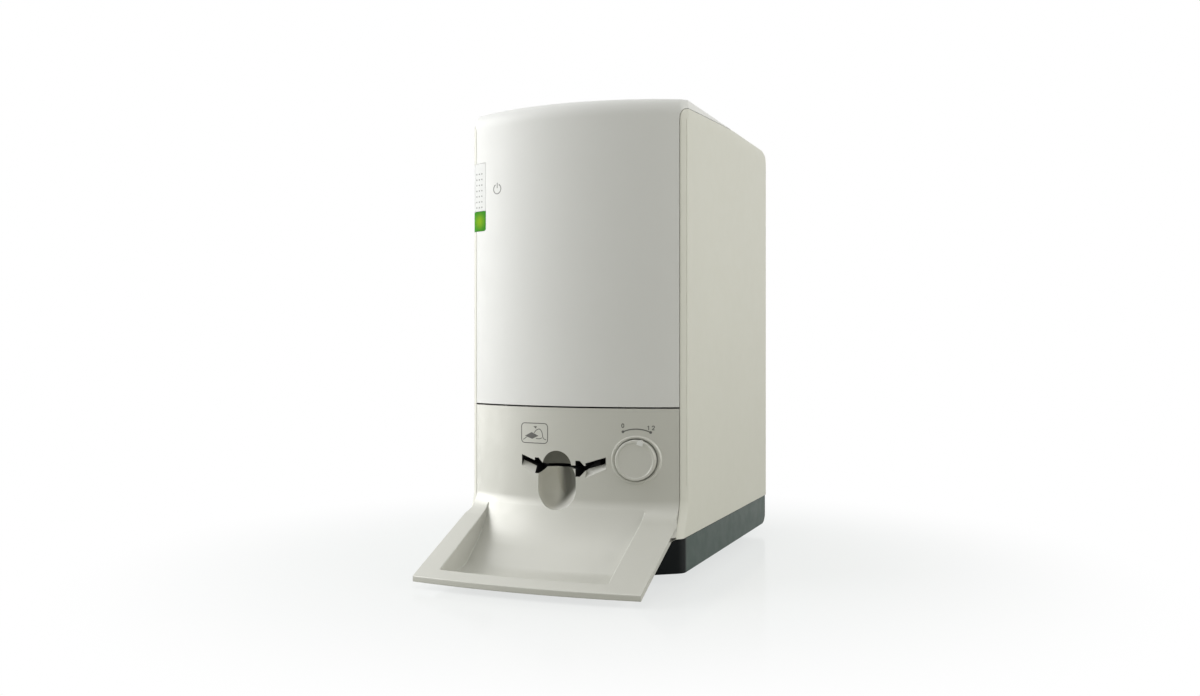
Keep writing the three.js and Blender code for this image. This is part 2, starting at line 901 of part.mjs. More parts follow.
function lowerPanel() {
  const behind = bowedBlock([-middleHalf, middleHalf], [flareTop - overrun / 2, panelTop], skin, overrun);
  const throat = block(
    [wingLeft - throatMargin, wingRight + throatMargin],
    [-bowDepth, throatBack],
    [slotHeight - throatHalfHeight, slotHeight + throatHalfHeight],
  );
  const boss = rodY(dishRadius + dishRim, 0, [-dishDepth, dishDepth + dishWall], 0, fine, dialPlace);
  const backing = common(join(throat, boss, scoop(scoopWall)), behind);
  const shaftHole = rodY(shaftRadius + runningGap, 0, [-overrun, overrun], 0, round, dialPlace);
  const washerSpan = [dishDepth + dishWall, overrun];
  const washerRoom = rodY(washerRadius + partGap, 0, washerSpan, 0, round, dialPlace);
  return cut(
    join(lowerPanelSheet(), trayTub(), trayFlank(-1), trayFlank(1), backing),
    flareSpace(-1, seamGap),
    flareSpace(1, seamGap),
    pocketSpace(),
    scoop(0),
    slotCut(),
    dialDish(),
    shaftHole,
    washerRoom,
  );
}

// Dial, shaft and pinion, in the dial's own frame
function dial() {
  const back = dishDepth - partGap;
  const ring = (radius, y) => circle(radius, fine).map(([x, z]) => [x, y, z]);
  const rim = ring(dialRadius, dialEdge - dialProud);
  const face = ring(dialRadius - dialEdge, -dialProud);
  const disc = loft([ring(dialRadius, back), rim, face], circle(dialRadius, fine));
  const reach = dialRadius + dialTabReach;
  const half = dialTabWidth / 2;
  const side = [[half, 0], [half, reach - half], [half / 2, reach]];
  const tab = prismY(
    [...side, ...side.map(([x, z]) => [-x, z]).reverse()],
    [-dialProud, -dialProud + dialTabDepth],
    new THREE.Matrix4().makeRotationY(dialPointer),
  );
  const socket = rodY(shaftRadius + runningGap, 0, [back - shaftSocket, overrun], 0, round);
  return cut(join(disc, tab), socket).transform(dialPlace.elements);
}

function gear(teeth, module, span, hole, matrix) {
  const radius = (teeth * module) / 2;
  const pitch = (2 * Math.PI) / teeth;
  const points = [];
  for (let i = 0; i < teeth; i++) {
    const centre = Math.PI / 2 + i * pitch;
    const corners = [
      [radius - dedendum, -toothRootShare / 2],
      [radius, -toothShare / 2],
      [radius + addendum, -toothTipShare / 2],
      [radius + addendum, toothTipShare / 2],
      [radius, toothShare / 2],
      [radius - dedendum, toothRootShare / 2],
    ];
    corners.forEach(([r, share]) => {
      const angle = centre + share * pitch;
      points.push([r * Math.cos(angle), r * Math.sin(angle)]);
    });
  }
  const bore = rodY(hole, 0, [span[0] - overrun, span[1] + overrun], 0, round, matrix);
  return cut(prismY(points, span, matrix), bore);
}

// A rack's toothed edge, up is 1 for teeth that point up and -1 for teeth that point down
function rack(up) {
  const pitch = Math.PI * pinionModule;
  const count = Math.round((2 * rackRun) / pitch);
  const start = count % 2 ? count / 2 : (count - 1) / 2;
  const level = (height) => -up * (pinionRadius - height);
  const points = [];
  for (let i = 0; i <= count; i++) {
    const centre = (i - start) * pitch;
    points.push(
      [centre - (toothRootShare / 2) * pitch, level(-dedendum)],
      [centre - (toothTipShare / 2) * pitch, level(addendum)],
      [centre + (toothTipShare / 2) * pitch, level(addendum)],
      [centre + (toothRootShare / 2) * pitch, level(-dedendum)],
    );
  }
  const first = points[0][0];
  const last = points[points.length - 1][0];
  const back = level(-dedendum - rackBacking);
  const half = pinionWidth / 2 - rackInset;
  const span = [pinionDepth - half, pinionDepth + half];
  return prismY([[first, back], ...points, [last, back]], span, dialPlace);
}

// Plate guides with their racks
const grip = guideOpening / 2;
const lowRailZ = Math.min(slotHeight - slotRailDrop, dialHeight - dialRailDrop);
const highRailZ = Math.max(slotHeight + slotRailRise, dialHeight + dialRailRise);
const railY = (guideFront + guideBack) / 2 + guideRailShift;
const barY = [railY - guideBarHalf, railY + guideBarHalf - partGap];

function guideBlock(sign) {
  const apex = plateCentreX + sign * grip;
  const tip = apex - sign * guideGrooveDepth;
  const outer = apex + sign * guideBody;
  const points = [
    [outer, slotHeight - guideHalfHeight],
    [tip, slotHeight - guideHalfHeight],
    [tip, slotHeight - guideGrooveHalf],
    [apex, slotHeight - slitOpening / 2],
    [apex, slotHeight + slitOpening / 2],
    [tip, slotHeight + guideGrooveHalf],
    [tip, slotHeight + guideHalfHeight],
    [outer, slotHeight + guideHalfHeight],
  ];
  return prismY(points, [guideFront, guideBack]);
}

function leftGuide() {
  const apex = plateCentreX - grip;
  const outer = apex - guideBody;
  const drop = block([outer, apex], [guideFront, guideBack], [lowRailZ - guideBarHalf, slotHeight]);
  const bar = block([outer, guideBarEnd], barY, [lowRailZ - guideBarHalf, lowRailZ + guideBarHalf]);
  const riseTop = dialHeight - pinionRadius - dedendum - partGap;
  const rise = block([dialX - rackRun, guideBarEnd], barY, [lowRailZ, riseTop]);
  const hole = rodX(guideRailRadius + runningGap, wide, railY, lowRailZ);
  return cut(join(guideBlock(-1), drop, bar, rise, rack(1)), hole);
}

function rightGuide() {
  const apex = plateCentreX + grip;
  const outer = apex + guideBody;
  const lift = block([apex, outer], [guideFront, guideBack], [slotHeight, highRailZ + guideBarHalf]);
  const bar = block([apex, guideBarEnd], barY, [highRailZ - guideBarHalf, highRailZ + guideBarHalf]);
  const fallBottom = dialHeight + pinionRadius + dedendum + partGap;
  const fall = block([dialX - rackRun, guideBarEnd], barY, [fallBottom, highRailZ]);
  const hole = rodX(guideRailRadius + runningGap, wide, railY, highRailZ);
  return cut(join(guideBlock(1), lift, bar, fall, rack(-1)), hole);
}

function guideCarrier() {
  const rise = [lowRailZ - carrierDrop, highRailZ + carrierRise];
  const plate = block([carrierLeft, carrierRight], [carrierFront, carrierBack], rise);
  const half = carrierThroat / 2;
  const throat = block(
    [plateCentreX - half, plateCentreX + half],
    deep,
    [slotHeight - carrierThroatHalf, slotHeight + carrierThroatHalf],
  );
  const lugs = [];
  for (const z of [lowRailZ, highRailZ]) {
    for (const from of [carrierLeft, carrierRight - carrierLug]) {
      const across = [from, from + carrierLug];
      lugs.push(block(across, [carrierLugFront, carrierBack], [z - guideBarHalf, z + guideBarHalf]));
    }
  }
  const rails = [lowRailZ, highRailZ].map((z) => rodX(guideRailRadius + runningGap, wide, railY, z));
  const bearing = rodY(shaftTip + runningGap, 0, [-overrun, overrun], 0, round, dialPlace);
  return cut(join(plate, ...lugs), throat, bearing, ...rails);
}

// Base
function basePlan(inset) {
  const half = halfWidth - inset;
  const front = -baseFront + inset;
  const side = -baseSideStart + inset / 2;
  const frontHalf = baseFrontHalf - inset / 2;
  const back = baseRear - inset;
  const slope = (half - frontHalf) / (side - front);
  const near = [half - baseCorner, side - baseCorner / slope];
  const right = [
    [frontHalf, front],
    near,
    ...bezier(near, [half, side], [half, side + baseCorner], cornerSteps),
    ...bezier([half, back - baseCorner], [half, back], [half - baseCorner, back], cornerSteps),
  ];
  return [...right, ...right.map(([x, y]) => [-x, y]).reverse()];
}

function baseTray() {
  const rearCurve = circle(baseRearRadius, fine)
    .filter(([a, b]) => a > 0 && b < 0)
    .map(([a, b]) => [baseRear - baseRearRadius + a, baseBottom + baseRearRadius + b]);
  const profile = [
    [deep[0], baseBottom],
    [baseRear - baseRearRadius, baseBottom],
    ...rearCurve,
    [baseRear, baseBottom + baseRearRadius],
    [baseRear, baseTop],
    [deep[0], baseTop],
  ];
  const outside = common(prismZ(basePlan(0), [baseBottom, baseTop]), prismX(profile, wide));
  const rearSlope = prismX(
    [
      [baseRear - 2 * baseRearRadius, baseBottom],
      [baseRear, baseBottom],
      [baseRear, baseBottom + baseRearRadius + baseWall],
    ],
    wide,
  );
  const inside = cut(prismZ(basePlan(baseWall), [baseBottom + baseWall, tall[1]]), rearSlope);
  const bosses = [];
  for (const x of [-footX, footX]) {
    for (const y of [footFrontY, footRearY]) {
      bosses.push(rodZ(bossRadius, x, y, [baseBottom, chassisTop - chassisSheet - partGap]));
    }
  }
  return cut(join(cut(outside, inside), ...bosses), tubClearance(partGap));
}

function foot(x, y) {
  const ring = (radius, z) => circle(radius, round, x, y).map(([a, b]) => [a, b, z]);
  return loft(
    [ring(footRadius - footTaper, 0), ring(footRadius, footTaper), ring(footRadius, baseBottom - partGap)],
    circle(footRadius, round),
  );
}

// Chassis
function chassisFloor() {
  const thickness = [chassisTop - chassisSheet, chassisTop];
  const sheet = block([-chassisHalf, chassisHalf], [chassisFront, chassisRear], thickness);
  const tabs = [-1, 1].map((sign) => {
    const tab = block(
      [sign * screwX - chassisTab / 2, sign * screwX + chassisTab / 2],
      [chassisRear - chassisSheet, chassisRear],
      [chassisTop - chassisSheet, screwHeight + chassisTab / 2],
    );
    return cut(tab, rodY(screwShank + runningGap, sign * screwX, deep, screwHeight));
  });
  return join(sheet, ...tabs);
}

function framePlate(x) {
  const outline = [
    [frameFront, frameBottom],
    [frameRear, frameBottom],
    [frameRear, frameTop],
    [frameStepY, frameTop],
    [frameStepY, frameStep],
    [frameFront, frameStep],
  ];
  const plate = prismX(outline, [x - frameSheet / 2, x + frameSheet / 2]);
  const holes = [
    [frontRollerY, driveHeight, driveCore],
    [rearRollerY, driveHeight, driveCore],
    [frontRollerY, pinchHeight, pinchCore],
    [rearRollerY, pinchHeight, pinchCore],
    [motorY, motorHeight, motorShaftRadius],
  ].map(([y, z, radius]) => rodX(radius + runningGap, wide, y, z));
  return cut(plate, ...holes);
}

function pathBed() {
  const bed = block(spanInner, [bedFront, bedRear], [bedBottom, bedTop]);
  const windows = [frontRollerY, rearRollerY].map((y) =>
    block(
      [plateCentreX - rollerHalf - bedWindow, plateCentreX + rollerHalf + bedWindow],
      [y - driveRadius - bedWindow, y + driveRadius + bedWindow],
      tall,
    ),
  );
  const [left, right] = spanInner;
  const rims = [
    block([left, left + wall], [bedFront, bedRear], [bedBottom - bedRim, bedTop]),
    block([right - wall, right], [bedFront, motorY - motorSide], [bedBottom - bedRim, bedTop]),
  ];
  const shafts = [frontRollerY, rearRollerY].map((y) => rodX(driveCore + partGap, wide, y, driveHeight));
  return cut(join(bed, ...rims), ...windows, ...shafts);
}

// Transport rollers, shafts, pulleys and belt
const pulleyFrom = frameRight + frameSheet / 2 + partGap;
const pulleySpan = [pulleyFrom, pulleyFrom + pulleyWidth];

function driveShaft(y) {
  return rodX(driveCore, [frameLeft - frameSheet, pulleySpan[1] + partGap], y, driveHeight);
}

function driveTyre(y) {
  const span = [plateCentreX - rollerHalf, plateCentreX + rollerHalf];
  const bore = rodX(driveCore + runningGap, wide, y, driveHeight);
  return cut(rodX(driveRadius, span, y, driveHeight, round), bore);
}

function pinchRoller(y) {
  const span = [plateCentreX - rollerHalf, plateCentreX + rollerHalf];
  const axle = [frameLeft - frameSheet, frameRight + frameSheet / 2];
  const body = rodX(pinchRadius, span, y, pinchHeight, round);
  return join(body, rodX(pinchCore, axle, y, pinchHeight));
}

function pulley(radius, bore, y, z) {
  const [from, to] = pulleySpan;
  const drum = rodX(radius, pulleySpan, y, z, round);
  const flange = rodX(radius + pulleyFlange, [to - pulleyFlangeWidth, to], y, z, round);
  return cut(join(drum, flange), rodX(bore + runningGap, [from - overrun, to + overrun], y, z));
}

function hull(points) {
  const sorted = [...points].sort((p, q) => p[0] - q[0] || p[1] - q[1]);
  const half = (list) => {
    const out = [];
    for (const p of list) {
      while (out.length > 1) {
        const [a, b] = [out[out.length - 2], out[out.length - 1]];
        if ((b[0] - a[0]) * (p[1] - a[1]) - (b[1] - a[1]) * (p[0] - a[0]) > 0) break;
        out.pop();
      }
      out.push(p);
    }
    return out.slice(0, -1);
  };
  return [...half(sorted), ...half([...sorted].reverse())];
}

function driveBelt() {
  const span = [pulleySpan[0], pulleySpan[1] - pulleyFlangeWidth - partGap];
  const around = (grown) =>
    hull([
      ...circle(pulleyRadius + grown, fine, frontRollerY, driveHeight),
      ...circle(pulleyRadius + grown, fine, rearRollerY, driveHeight),
      ...circle(motorPulleyRadius + grown, fine, motorY, motorHeight),
    ]);
  return cut(prismX(around(partGap + beltThickness), span), prismX(around(partGap), wide));
}

function driveMotor() {
  const face = frameRight - frameSheet / 2 - partGap;
  const half = motorSide / 2;
  const edge = half - motorCorner;
  const upper = [[half, -edge], [half, edge], [edge, half], [-edge, half]];
  const outline = [...upper, ...upper.map(([a, b]) => [-a, -b])];
  const placed = outline.map(([a, b]) => [a + motorY, b + motorHeight]);
  const bore = [face - motorShaftDepth - partGap, wide[1]];
  return cut(
    prismX(placed, [face - motorLength, face]),
    rodX(motorShaftRadius + runningGap, bore, motorY, motorHeight),
  );
}

// Optics
function opticsDeck() {
  const deck = block(spanInner, [deckFront, deckRear], [deckBottom, deckTop]);
  const slit = block(
    [plateCentreX - mirrorHalf, plateCentreX + mirrorHalf],
    [scanLineY - scanSlitWidth / 2, scanLineY + scanSlitWidth / 2],
    tall,
  );
  return cut(deck, slit);
}

const opticsBase = deckTop + partGap;

function polygonMotor() {
  const plate = block(
    [plateCentreX - polygonBoardHalf, plateCentreX + polygonBoardHalf],
    [polygonY - polygonBoardHalf, polygonY + polygonBoardHalf],
    [opticsBase, opticsBase + polygonBoard],
  );
  const drumTop = opticsBase + polygonMotorHeight;
  const drum = rodZ(polygonMotorRadius, plateCentreX, polygonY, [opticsBase, drumTop], round);
  const spindleTop = drumTop + partGap + polygonHeight;
  const spindle = rodZ(spindleRadius, plateCentreX, polygonY, [opticsBase, spindleTop]);
  return join(plate, drum, spindle);
}

const polygonFrom = opticsBase + polygonMotorHeight + partGap;

function polygonMirror() {
  const span = [polygonFrom, polygonFrom + polygonHeight];
  return cut(
    rodZ(polygonRadius, plateCentreX, polygonY, span, polygonFaces),
    rodZ(spindleRadius + runningGap, plateCentreX, polygonY, tall),
  );
}

function scanLens() {
  const front = lensY + lensEdge;
  const crown = bezier([-lensHalf, front], [0, front + 2 * lensCrown], [lensHalf, front], 2 * turnSteps);
  const outline = [[lensHalf, lensY], [-lensHalf, lensY], [-lensHalf, front], ...crown];
  return prismZ(outline.map(([x, y]) => [x + plateCentreX, y]), [opticsBase, opticsBase + lensHeight]);
}

function foldMirror() {
  const glass = mirrorThickness * Math.SQRT2;
  const near = scanLineY - scanSlitWidth;
  return prismX(
    [
      [near, opticsBase],
      [near + mirrorHeight, opticsBase + mirrorHeight],
      [near + mirrorHeight - glass, opticsBase + mirrorHeight],
      [near - glass, opticsBase],
    ],
    [plateCentreX - mirrorHalf, plateCentreX + mirrorHalf],
  );
}

function laserModule() {
  const half = laserBlock / 2;
  const height = opticsBase + half;
  const across = [laserX - half, laserX + half];
  const seat = block(across, [laserY - half, laserY + half], [opticsBase, opticsBase + laserBlock]);
  const barrel = [laserY - laserLength / 2, laserY + laserLength / 2];
  return join(seat, rodY(laserRadius, laserX, barrel, height, round));
}

// Light collector and its tube, along one leaning axis from the scan line
const collectorPlace = new THREE.Matrix4()
  .makeRotationX(-collectorLean)
  .setPosition(plateCentreX, scanLineY + collectorThickness, slotHeight + collectorLift);

function lightCollector() {
  const half = collectorWidth / 2;
  const tip = collectorTop / 2;
  const outline = [[-half, 0], [half, 0], [tip, collectorLength], [-tip, collectorLength]];
  return prismY(outline, [-collectorThickness / 2, collectorThickness / 2], collectorPlace);
}

function photomultiplier() {
  const from = collectorLength + partGap;
  const can = rodZ(tubeRadius, 0, 0, [from, from + tubeLength], round, collectorPlace);
  const along = new THREE.Vector3(0, 0, from + tubeLength / 2).applyMatrix4(collectorPlace);
  const half = tubeBlock / 2;
  const across = [along.x - half, along.x + half];
  const seat = block(across, [along.y - half, along.y + half], [along.z, deckBottom - partGap]);
  return join(can, seat);
}

function eraserLampBar() {
  const low = slotHeight + eraserLift;
  const y = [eraserY - eraserDepth / 2, eraserY + eraserDepth / 2];
  const strip = block(spanInner, y, [low, low + eraserBoard]);
  const half = eraserLampSize / 2;
  const lamps = Array.from({ length: eraserLamps }, (_, i) => {
    const x = plateCentreX + ((i - (eraserLamps - 1) / 2) * 2 * rollerHalf) / eraserLamps;
    const high = [low - eraserLampHeight, low + eraserBoard];
    return block([x - half, x + half], [eraserY - half, eraserY + half], high);
  });
  return join(strip, ...lamps);
}

// Electronics
function mainBoard() {
  const seat = frameLeft - frameSheet / 2 - partGap;
  const near = seat - standoff;
  const rise = [mainBoardBottom, mainBoardTop];
  const sheet = block([near - mainBoardThickness, near], [mainBoardFront, mainBoardRear], rise);
  const posts = [];
  for (const y of [mainBoardFront + boardEdge, mainBoardRear - boardEdge]) {
    for (const z of [mainBoardBottom + boardEdge, mainBoardTop - boardEdge]) {
      posts.push(rodX(standoffRadius, [near - mainBoardThickness, seat], y, z));
    }
  }
  const midY = (mainBoardFront + mainBoardRear) / 2;
  const midZ = (mainBoardBottom + mainBoardTop) / 2;
  const chips = [-2, 0, 2].map((place) =>
    block(
      [near - mainBoardThickness, near + chipHeight],
      [midY - chipSize / 2, midY + chipSize / 2],
      [midZ + place * chipSize - chipSize / 2, midZ + place * chipSize + chipSize / 2],
    ),
  );
  return join(sheet, ...posts, ...chips);
}

const shelfTop = shelfBottom + frameSheet;

function powerSupply() {
  const x = [spanInner[0] + supplyMargin, spanInner[1] - supplyMargin];
  const y = [shelfFront + supplyMargin, shelfRear - supplyMargin];
  const z = [shelfTop + partGap, shelfTop + partGap + supplyHeight];
  const slots = Array.from({ length: supplyVents }, (_, i) => {
    const at = x[0] + ((x[1] - x[0]) * (i + 1)) / (supplyVents + 1);
    const along = [y[0] + supplyMargin, y[1] - supplyMargin];
    return block([at, at + supplyVentWidth], along, [z[1] - supplyVentDepth, tall[1]]);
  });
  return cut(block(x, y, z), ...slots);
}

// Fan
const fanBack = rearInner - partGap;
const fanFront = fanBack - fanDepth;

function fanFrame() {
  const half = fanSide / 2;
  const rise = [fanHeight - half, fanHeight + half];
  const body = block([fanX - half, fanX + half], [fanFront, fanBack], rise);
  const bore = rodY(fanBore, fanX, deep, fanHeight, fine);
  const spokes = Array.from({ length: fanSpokes }, (_, i) => {
    const turn = new THREE.Matrix4()
      .makeTranslation(fanX, 0, fanHeight)
      .multiply(new THREE.Matrix4().makeRotationY((2 * Math.PI * i) / fanSpokes));
    const across = [-fanSpokeWidth / 2, fanSpokeWidth / 2];
    return block(across, [fanFront, fanFront + fanSpokeDepth], [0, fanBore + wall / 2], turn);
  });
  const centre = rodY(fanHub, fanX, [fanFront, fanFront + fanSpokeDepth], fanHeight, round);
  const pin = rodY(fanHubPin, fanX, [fanFront, fanBack - fanSpokeDepth], fanHeight);
  return join(cut(body, bore), ...spokes, centre, pin);
}

function fanRotor() {
  const from = fanFront + fanSpokeDepth + partGap;
  const to = fanBack - partGap;
  const hub = rodY(fanHub, fanX, [from, to], fanHeight, round);
  const blades = Array.from({ length: fanBlades }, (_, i) => {
    const turn = new THREE.Matrix4()
      .makeTranslation(fanX, (from + to) / 2, fanHeight)
      .multiply(new THREE.Matrix4().makeRotationY((2 * Math.PI * i) / fanBlades))
      .multiply(new THREE.Matrix4().makeRotationZ(Math.PI / 4));
    const half = (to - from) / 2;
    return block(
      [-fanBladeThickness / 2, fanBladeThickness / 2],
      [-half, half],
      [fanHub - fanBladeThickness, fanBore - fanBladeThickness],
      turn,
    );
  });
  const bore = [deep[0], fanBack - fanSpokeDepth + partGap];
  return cut(join(hub, ...blades), rodY(fanHubPin + runningGap, fanX, bore, fanHeight));
}

// Rear fittings
function rearFitting(x, width, height, depth, cavity) {
  const outer = caseDepth - partGap;
  const rise = [inletHeight - height / 2, inletHeight + height / 2];
  const body = block([x - width / 2, x + width / 2], [outer - depth, outer], rise);
  const flange = block(
    [x - width / 2 - rearFlangeRim, x + width / 2 + rearFlangeRim],
    [rearInner - partGap - rearFlange, rearInner - partGap],
    [inletHeight - height / 2 - rearFlangeRim, inletHeight + height / 2 + rearFlangeRim],
  );
  const [cavityWidth, cavityHeight, cavityDepth] = cavity;
  const hollow = block(
    [x - cavityWidth / 2, x + cavityWidth / 2],
    [outer - cavityDepth, deep[1]],
    [inletHeight - cavityHeight / 2, inletHeight + cavityHeight / 2],
  );
  return cut(join(body, flange), hollow);
}

function powerInlet() {
  const from = caseDepth - partGap - inletCavityDepth;
  const pins = [-1, 0, 1].map((place) => {
    const x = inletX + place * inletPinPitch;
    const z = inletHeight + (place ? -inletPin : inletPin);
    const along = [from - inletPin, from + inletPinLength];
    return block([x - inletPin / 2, x + inletPin / 2], along, [z - inletPin, z + inletPin]);
  });
  const cavity = [inletCavityWidth, inletCavityTall, inletCavityDepth];
  return join(rearFitting(inletX, inletWidth, inletTall, inletDepth, cavity), ...pins);
}

const rockerY = caseDepth - partGap - rockerDepth / 2;

function switchBody() {
  const made = rearFitting(switchX, switchWidth, switchTall, switchDepth, [
    rockerWidth + 2 * partGap,
    rockerTall + 2 * partGap,
    rockerDepth + rockerProud,
  ]);
  const reach = rockerWidth / 2 + 2 * rockerPin;
  const bore = [switchX - reach, switchX + reach];
  return cut(made, rodX(rockerPin + runningGap, bore, rockerY, inletHeight));
}

function switchRocker() {
  const half = rockerTall / 2;
  const face = caseDepth - partGap;
  const dip = half * Math.tan(rockerTilt);
  const outline = [
    [rockerY - rockerDepth / 2, inletHeight],
    [rockerY, inletHeight - half + dip],
    [face - 2 * dip, inletHeight - half + dip],
    [face - dip, inletHeight],
    [face - dip / 2, inletHeight + half - dip],
    [rockerY, inletHeight + half - dip],
  ];
  const reach = rockerWidth / 2 + rockerPin;
  const pin = rodX(rockerPin, [switchX - reach, switchX + reach], rockerY, inletHeight);
  return join(prismX(outline, [switchX - rockerWidth / 2, switchX + rockerWidth / 2]), pin);
}

function rearScrew(sign) {
  const x = sign * screwX;
  const head = rodY(screwHead, x, [caseDepth - screwHeadDepth, caseDepth], screwHeight);
  return join(head, rodY(screwShank, x, [caseDepth - screwLength, caseDepth], screwHeight));
}

// Assembly
add("front_hood", hood(), white);
add("lower_front_panel", lowerPanel(), silver);
add("left_side_panel", sidePanel(-1), casing);
add("right_side_panel", sidePanel(1), casing);
add("rear_cover", rearCover(), casing);
add("base_tray", baseTray(), plinth);
for (const [side, x] of [["left", -footX], ["right", footX]]) {
  for (const [end, y] of [["front", footFrontY], ["rear", footRearY]]) {
    add(`foot_${end}_${side}`, foot(x, y), rubber);
  }
}

add("status_window", common(shell, stripSpace(stripSplit - partGap, stripTop, partGap)), frosted);
add("status_lens", common(shell, stripSpace(stripBottom, stripSplit, partGap)), green);
const boardZ = [stripBottom - statusBoardMargin, stripTop + statusBoardMargin];
const statusY = [statusBoardY, statusBoardY + statusBoardThickness];
const statusLeft = -halfWidth + statusBoardInset;
add("status_board", block([statusLeft, statusLeft + statusBoardWidth], statusY, boardZ), board);

add("selector_dial", dial(), silver);
const pinionSpan = [pinionDepth - pinionWidth / 2, pinionDepth + pinionWidth / 2];
const thick = rodY(shaftRadius, 0, [dishDepth - shaftSocket, pinionSpan[0] - partGap], 0, round, dialPlace);
const thin = rodY(shaftTip, 0, [dishDepth, shaftLength], 0, round, dialPlace);
add("dial_shaft", join(thick, thin), steel);
const washerFrom = dishDepth + dishWall + partGap;
const washerSpan = [washerFrom, washerFrom + washerThickness];
const washerHole = rodY(shaftRadius + runningGap, 0, [-overrun, overrun], 0, round, dialPlace);
add("dial_washer", cut(rodY(washerRadius, 0, washerSpan, 0, round, dialPlace), washerHole), rubber);
add("dial_pinion", gear(pinionTeeth, pinionModule, pinionSpan, shaftTip + runningGap, dialPlace), alloy);

add("left_plate_guide", leftGuide(), black);
add("right_plate_guide", rightGuide(), black);
add("guide_carrier", guideCarrier(), black);
add("lower_guide_rail", rodX(guideRailRadius, [carrierLeft, carrierRight], railY, lowRailZ), steel);
add("upper_guide_rail", rodX(guideRailRadius, [carrierLeft, carrierRight], railY, highRailZ), steel);
const sealX = [plateCentreX - sealHalf, plateCentreX + sealHalf];
const sealY = [carrierBack + partGap, carrierBack + partGap + sealDepth];
const sealEdge = slotHeight + sealGap / 2;
const lowSealEdge = slotHeight - sealGap / 2;
add("upper_light_seal", block(sealX, sealY, [sealEdge, sealEdge + sealHeight]), felt);
add("lower_light_seal", block(sealX, sealY, [lowSealEdge - sealHeight, lowSealEdge]), felt);

add("chassis_floor", chassisFloor(), steel);
add("left_frame_plate", framePlate(frameLeft), steel);
add("right_frame_plate", framePlate(frameRight), steel);
add("path_bed", pathBed(), black);

for (const [place, y] of [["front", frontRollerY], ["rear", rearRollerY]]) {
  add(`${place}_drive_shaft`, driveShaft(y), steel);
  add(`${place}_drive_tyre`, driveTyre(y), rubber);
  add(`${place}_pinch_roller`, pinchRoller(y), black);
  add(`${place}_shaft_pulley`, pulley(pulleyRadius, driveCore, y, driveHeight), black);
}
add("motor_pulley", pulley(motorPulleyRadius, motorShaftRadius, motorY, motorHeight), black);
const motorFace = frameRight - frameSheet / 2 - partGap;
const motorShaftSpan = [motorFace - motorShaftDepth, pulleySpan[1]];
add("motor_shaft", rodX(motorShaftRadius, motorShaftSpan, motorY, motorHeight), steel);
add("drive_motor", driveMotor(), alloy);
add("drive_belt", driveBelt(), rubber);

add("optics_deck", opticsDeck(), alloy);
add("polygon_motor", polygonMotor(), board);
add("polygon_mirror", polygonMirror(), mirror);
add("scan_lens", scanLens(), clear);
add("fold_mirror", foldMirror(), mirror);
add("laser_module", laserModule(), alloy);
add("light_collector", lightCollector(), clear);
add("photomultiplier", photomultiplier(), alloy);
add("eraser_lamp_bar", eraserLampBar(), board);

add("main_board", mainBoard(), board);
add("upper_shelf", block(spanInner, [shelfFront, shelfRear], [shelfBottom, shelfTop]), steel);
add("power_supply", powerSupply(), alloy);
add("fan_frame", fanFrame(), black);
add("fan_rotor", fanRotor(), black);
add("power_inlet", powerInlet(), black);
add("switch_body", switchBody(), black);
add("switch_rocker", switchRocker(), black);
const socketCavity = [socketCavityWidth, socketCavityTall, socketCavityDepth];
add("network_socket", rearFitting(socketX, socketWidth, socketTall, socketDepth, socketCavity), alloy);
add("rear_screw_left", rearScrew(-1), steel);
add("rear_screw_right", rearScrew(1), steel);

root.position.y = (trayFront - caseDepth) / 2;

export default root;
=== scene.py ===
"""Table-top phosphor plate scanner, dressed for rendering over its CAD frame."""

import json
import math

import bmesh
import bpy
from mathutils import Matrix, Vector


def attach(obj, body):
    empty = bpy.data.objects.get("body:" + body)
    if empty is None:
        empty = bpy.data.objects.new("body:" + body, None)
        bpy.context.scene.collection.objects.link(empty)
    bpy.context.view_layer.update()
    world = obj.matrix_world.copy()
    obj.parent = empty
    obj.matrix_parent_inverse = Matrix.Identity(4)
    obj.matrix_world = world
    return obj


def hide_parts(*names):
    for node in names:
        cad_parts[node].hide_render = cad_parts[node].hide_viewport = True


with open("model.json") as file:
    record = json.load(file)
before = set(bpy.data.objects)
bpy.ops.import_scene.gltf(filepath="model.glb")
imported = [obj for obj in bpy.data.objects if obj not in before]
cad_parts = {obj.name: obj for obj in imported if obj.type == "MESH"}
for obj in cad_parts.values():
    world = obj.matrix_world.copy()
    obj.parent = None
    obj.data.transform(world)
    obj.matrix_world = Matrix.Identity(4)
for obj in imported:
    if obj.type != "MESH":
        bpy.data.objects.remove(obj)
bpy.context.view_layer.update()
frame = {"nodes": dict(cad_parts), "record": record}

# Script units are millimetres, counted as in the CAD source: Y from the case's front corners
MM = 0.001
CASE_SHIFT = -61.75


def place(x, y, z):
    """A point of this script, in millimetres, as a point of the row frame in metres."""
    return Vector((x, y + CASE_SHIFT, z)) * MM


# Sizes of the case. Most are the CAD source's; edges and gaps that show are finer here
HALF_WIDTH = 69
CASE_DEPTH = 200
CASE_HEIGHT = 276
HALF_CHORD = 65
MIDDLE_HALF = 64.85
CHEEK_INNER = 65.15
CHEEK_WIDTH = 4
WALL = 2.5
BOW_DEPTH = 15
BOW_CENTRE_Y = (HALF_CHORD**2 - BOW_DEPTH**2) / (2 * BOW_DEPTH)
BOW_RADIUS = BOW_CENTRE_Y + BOW_DEPTH
TOP_ROLL = 6
TOP_ROLL_RISE = 10
REAR_TOP_RADIUS = 15
LIP_RUN = 4.6
LIP_ROUND = 0.69
LIP_STEPS = [(1.2, 0.6), (3.6, 3.95)]
SIDE_ROLL = 0.35
REAR_CORNER_RADIUS = 5
ROOF_SPLIT_RUN = 110
WEDGE_TURN = 5
SEAM_GAP = 0.3
STRIP_GAP = 0.12
HOOD_BOTTOM = 99.2
PANEL_TOP = 98.3
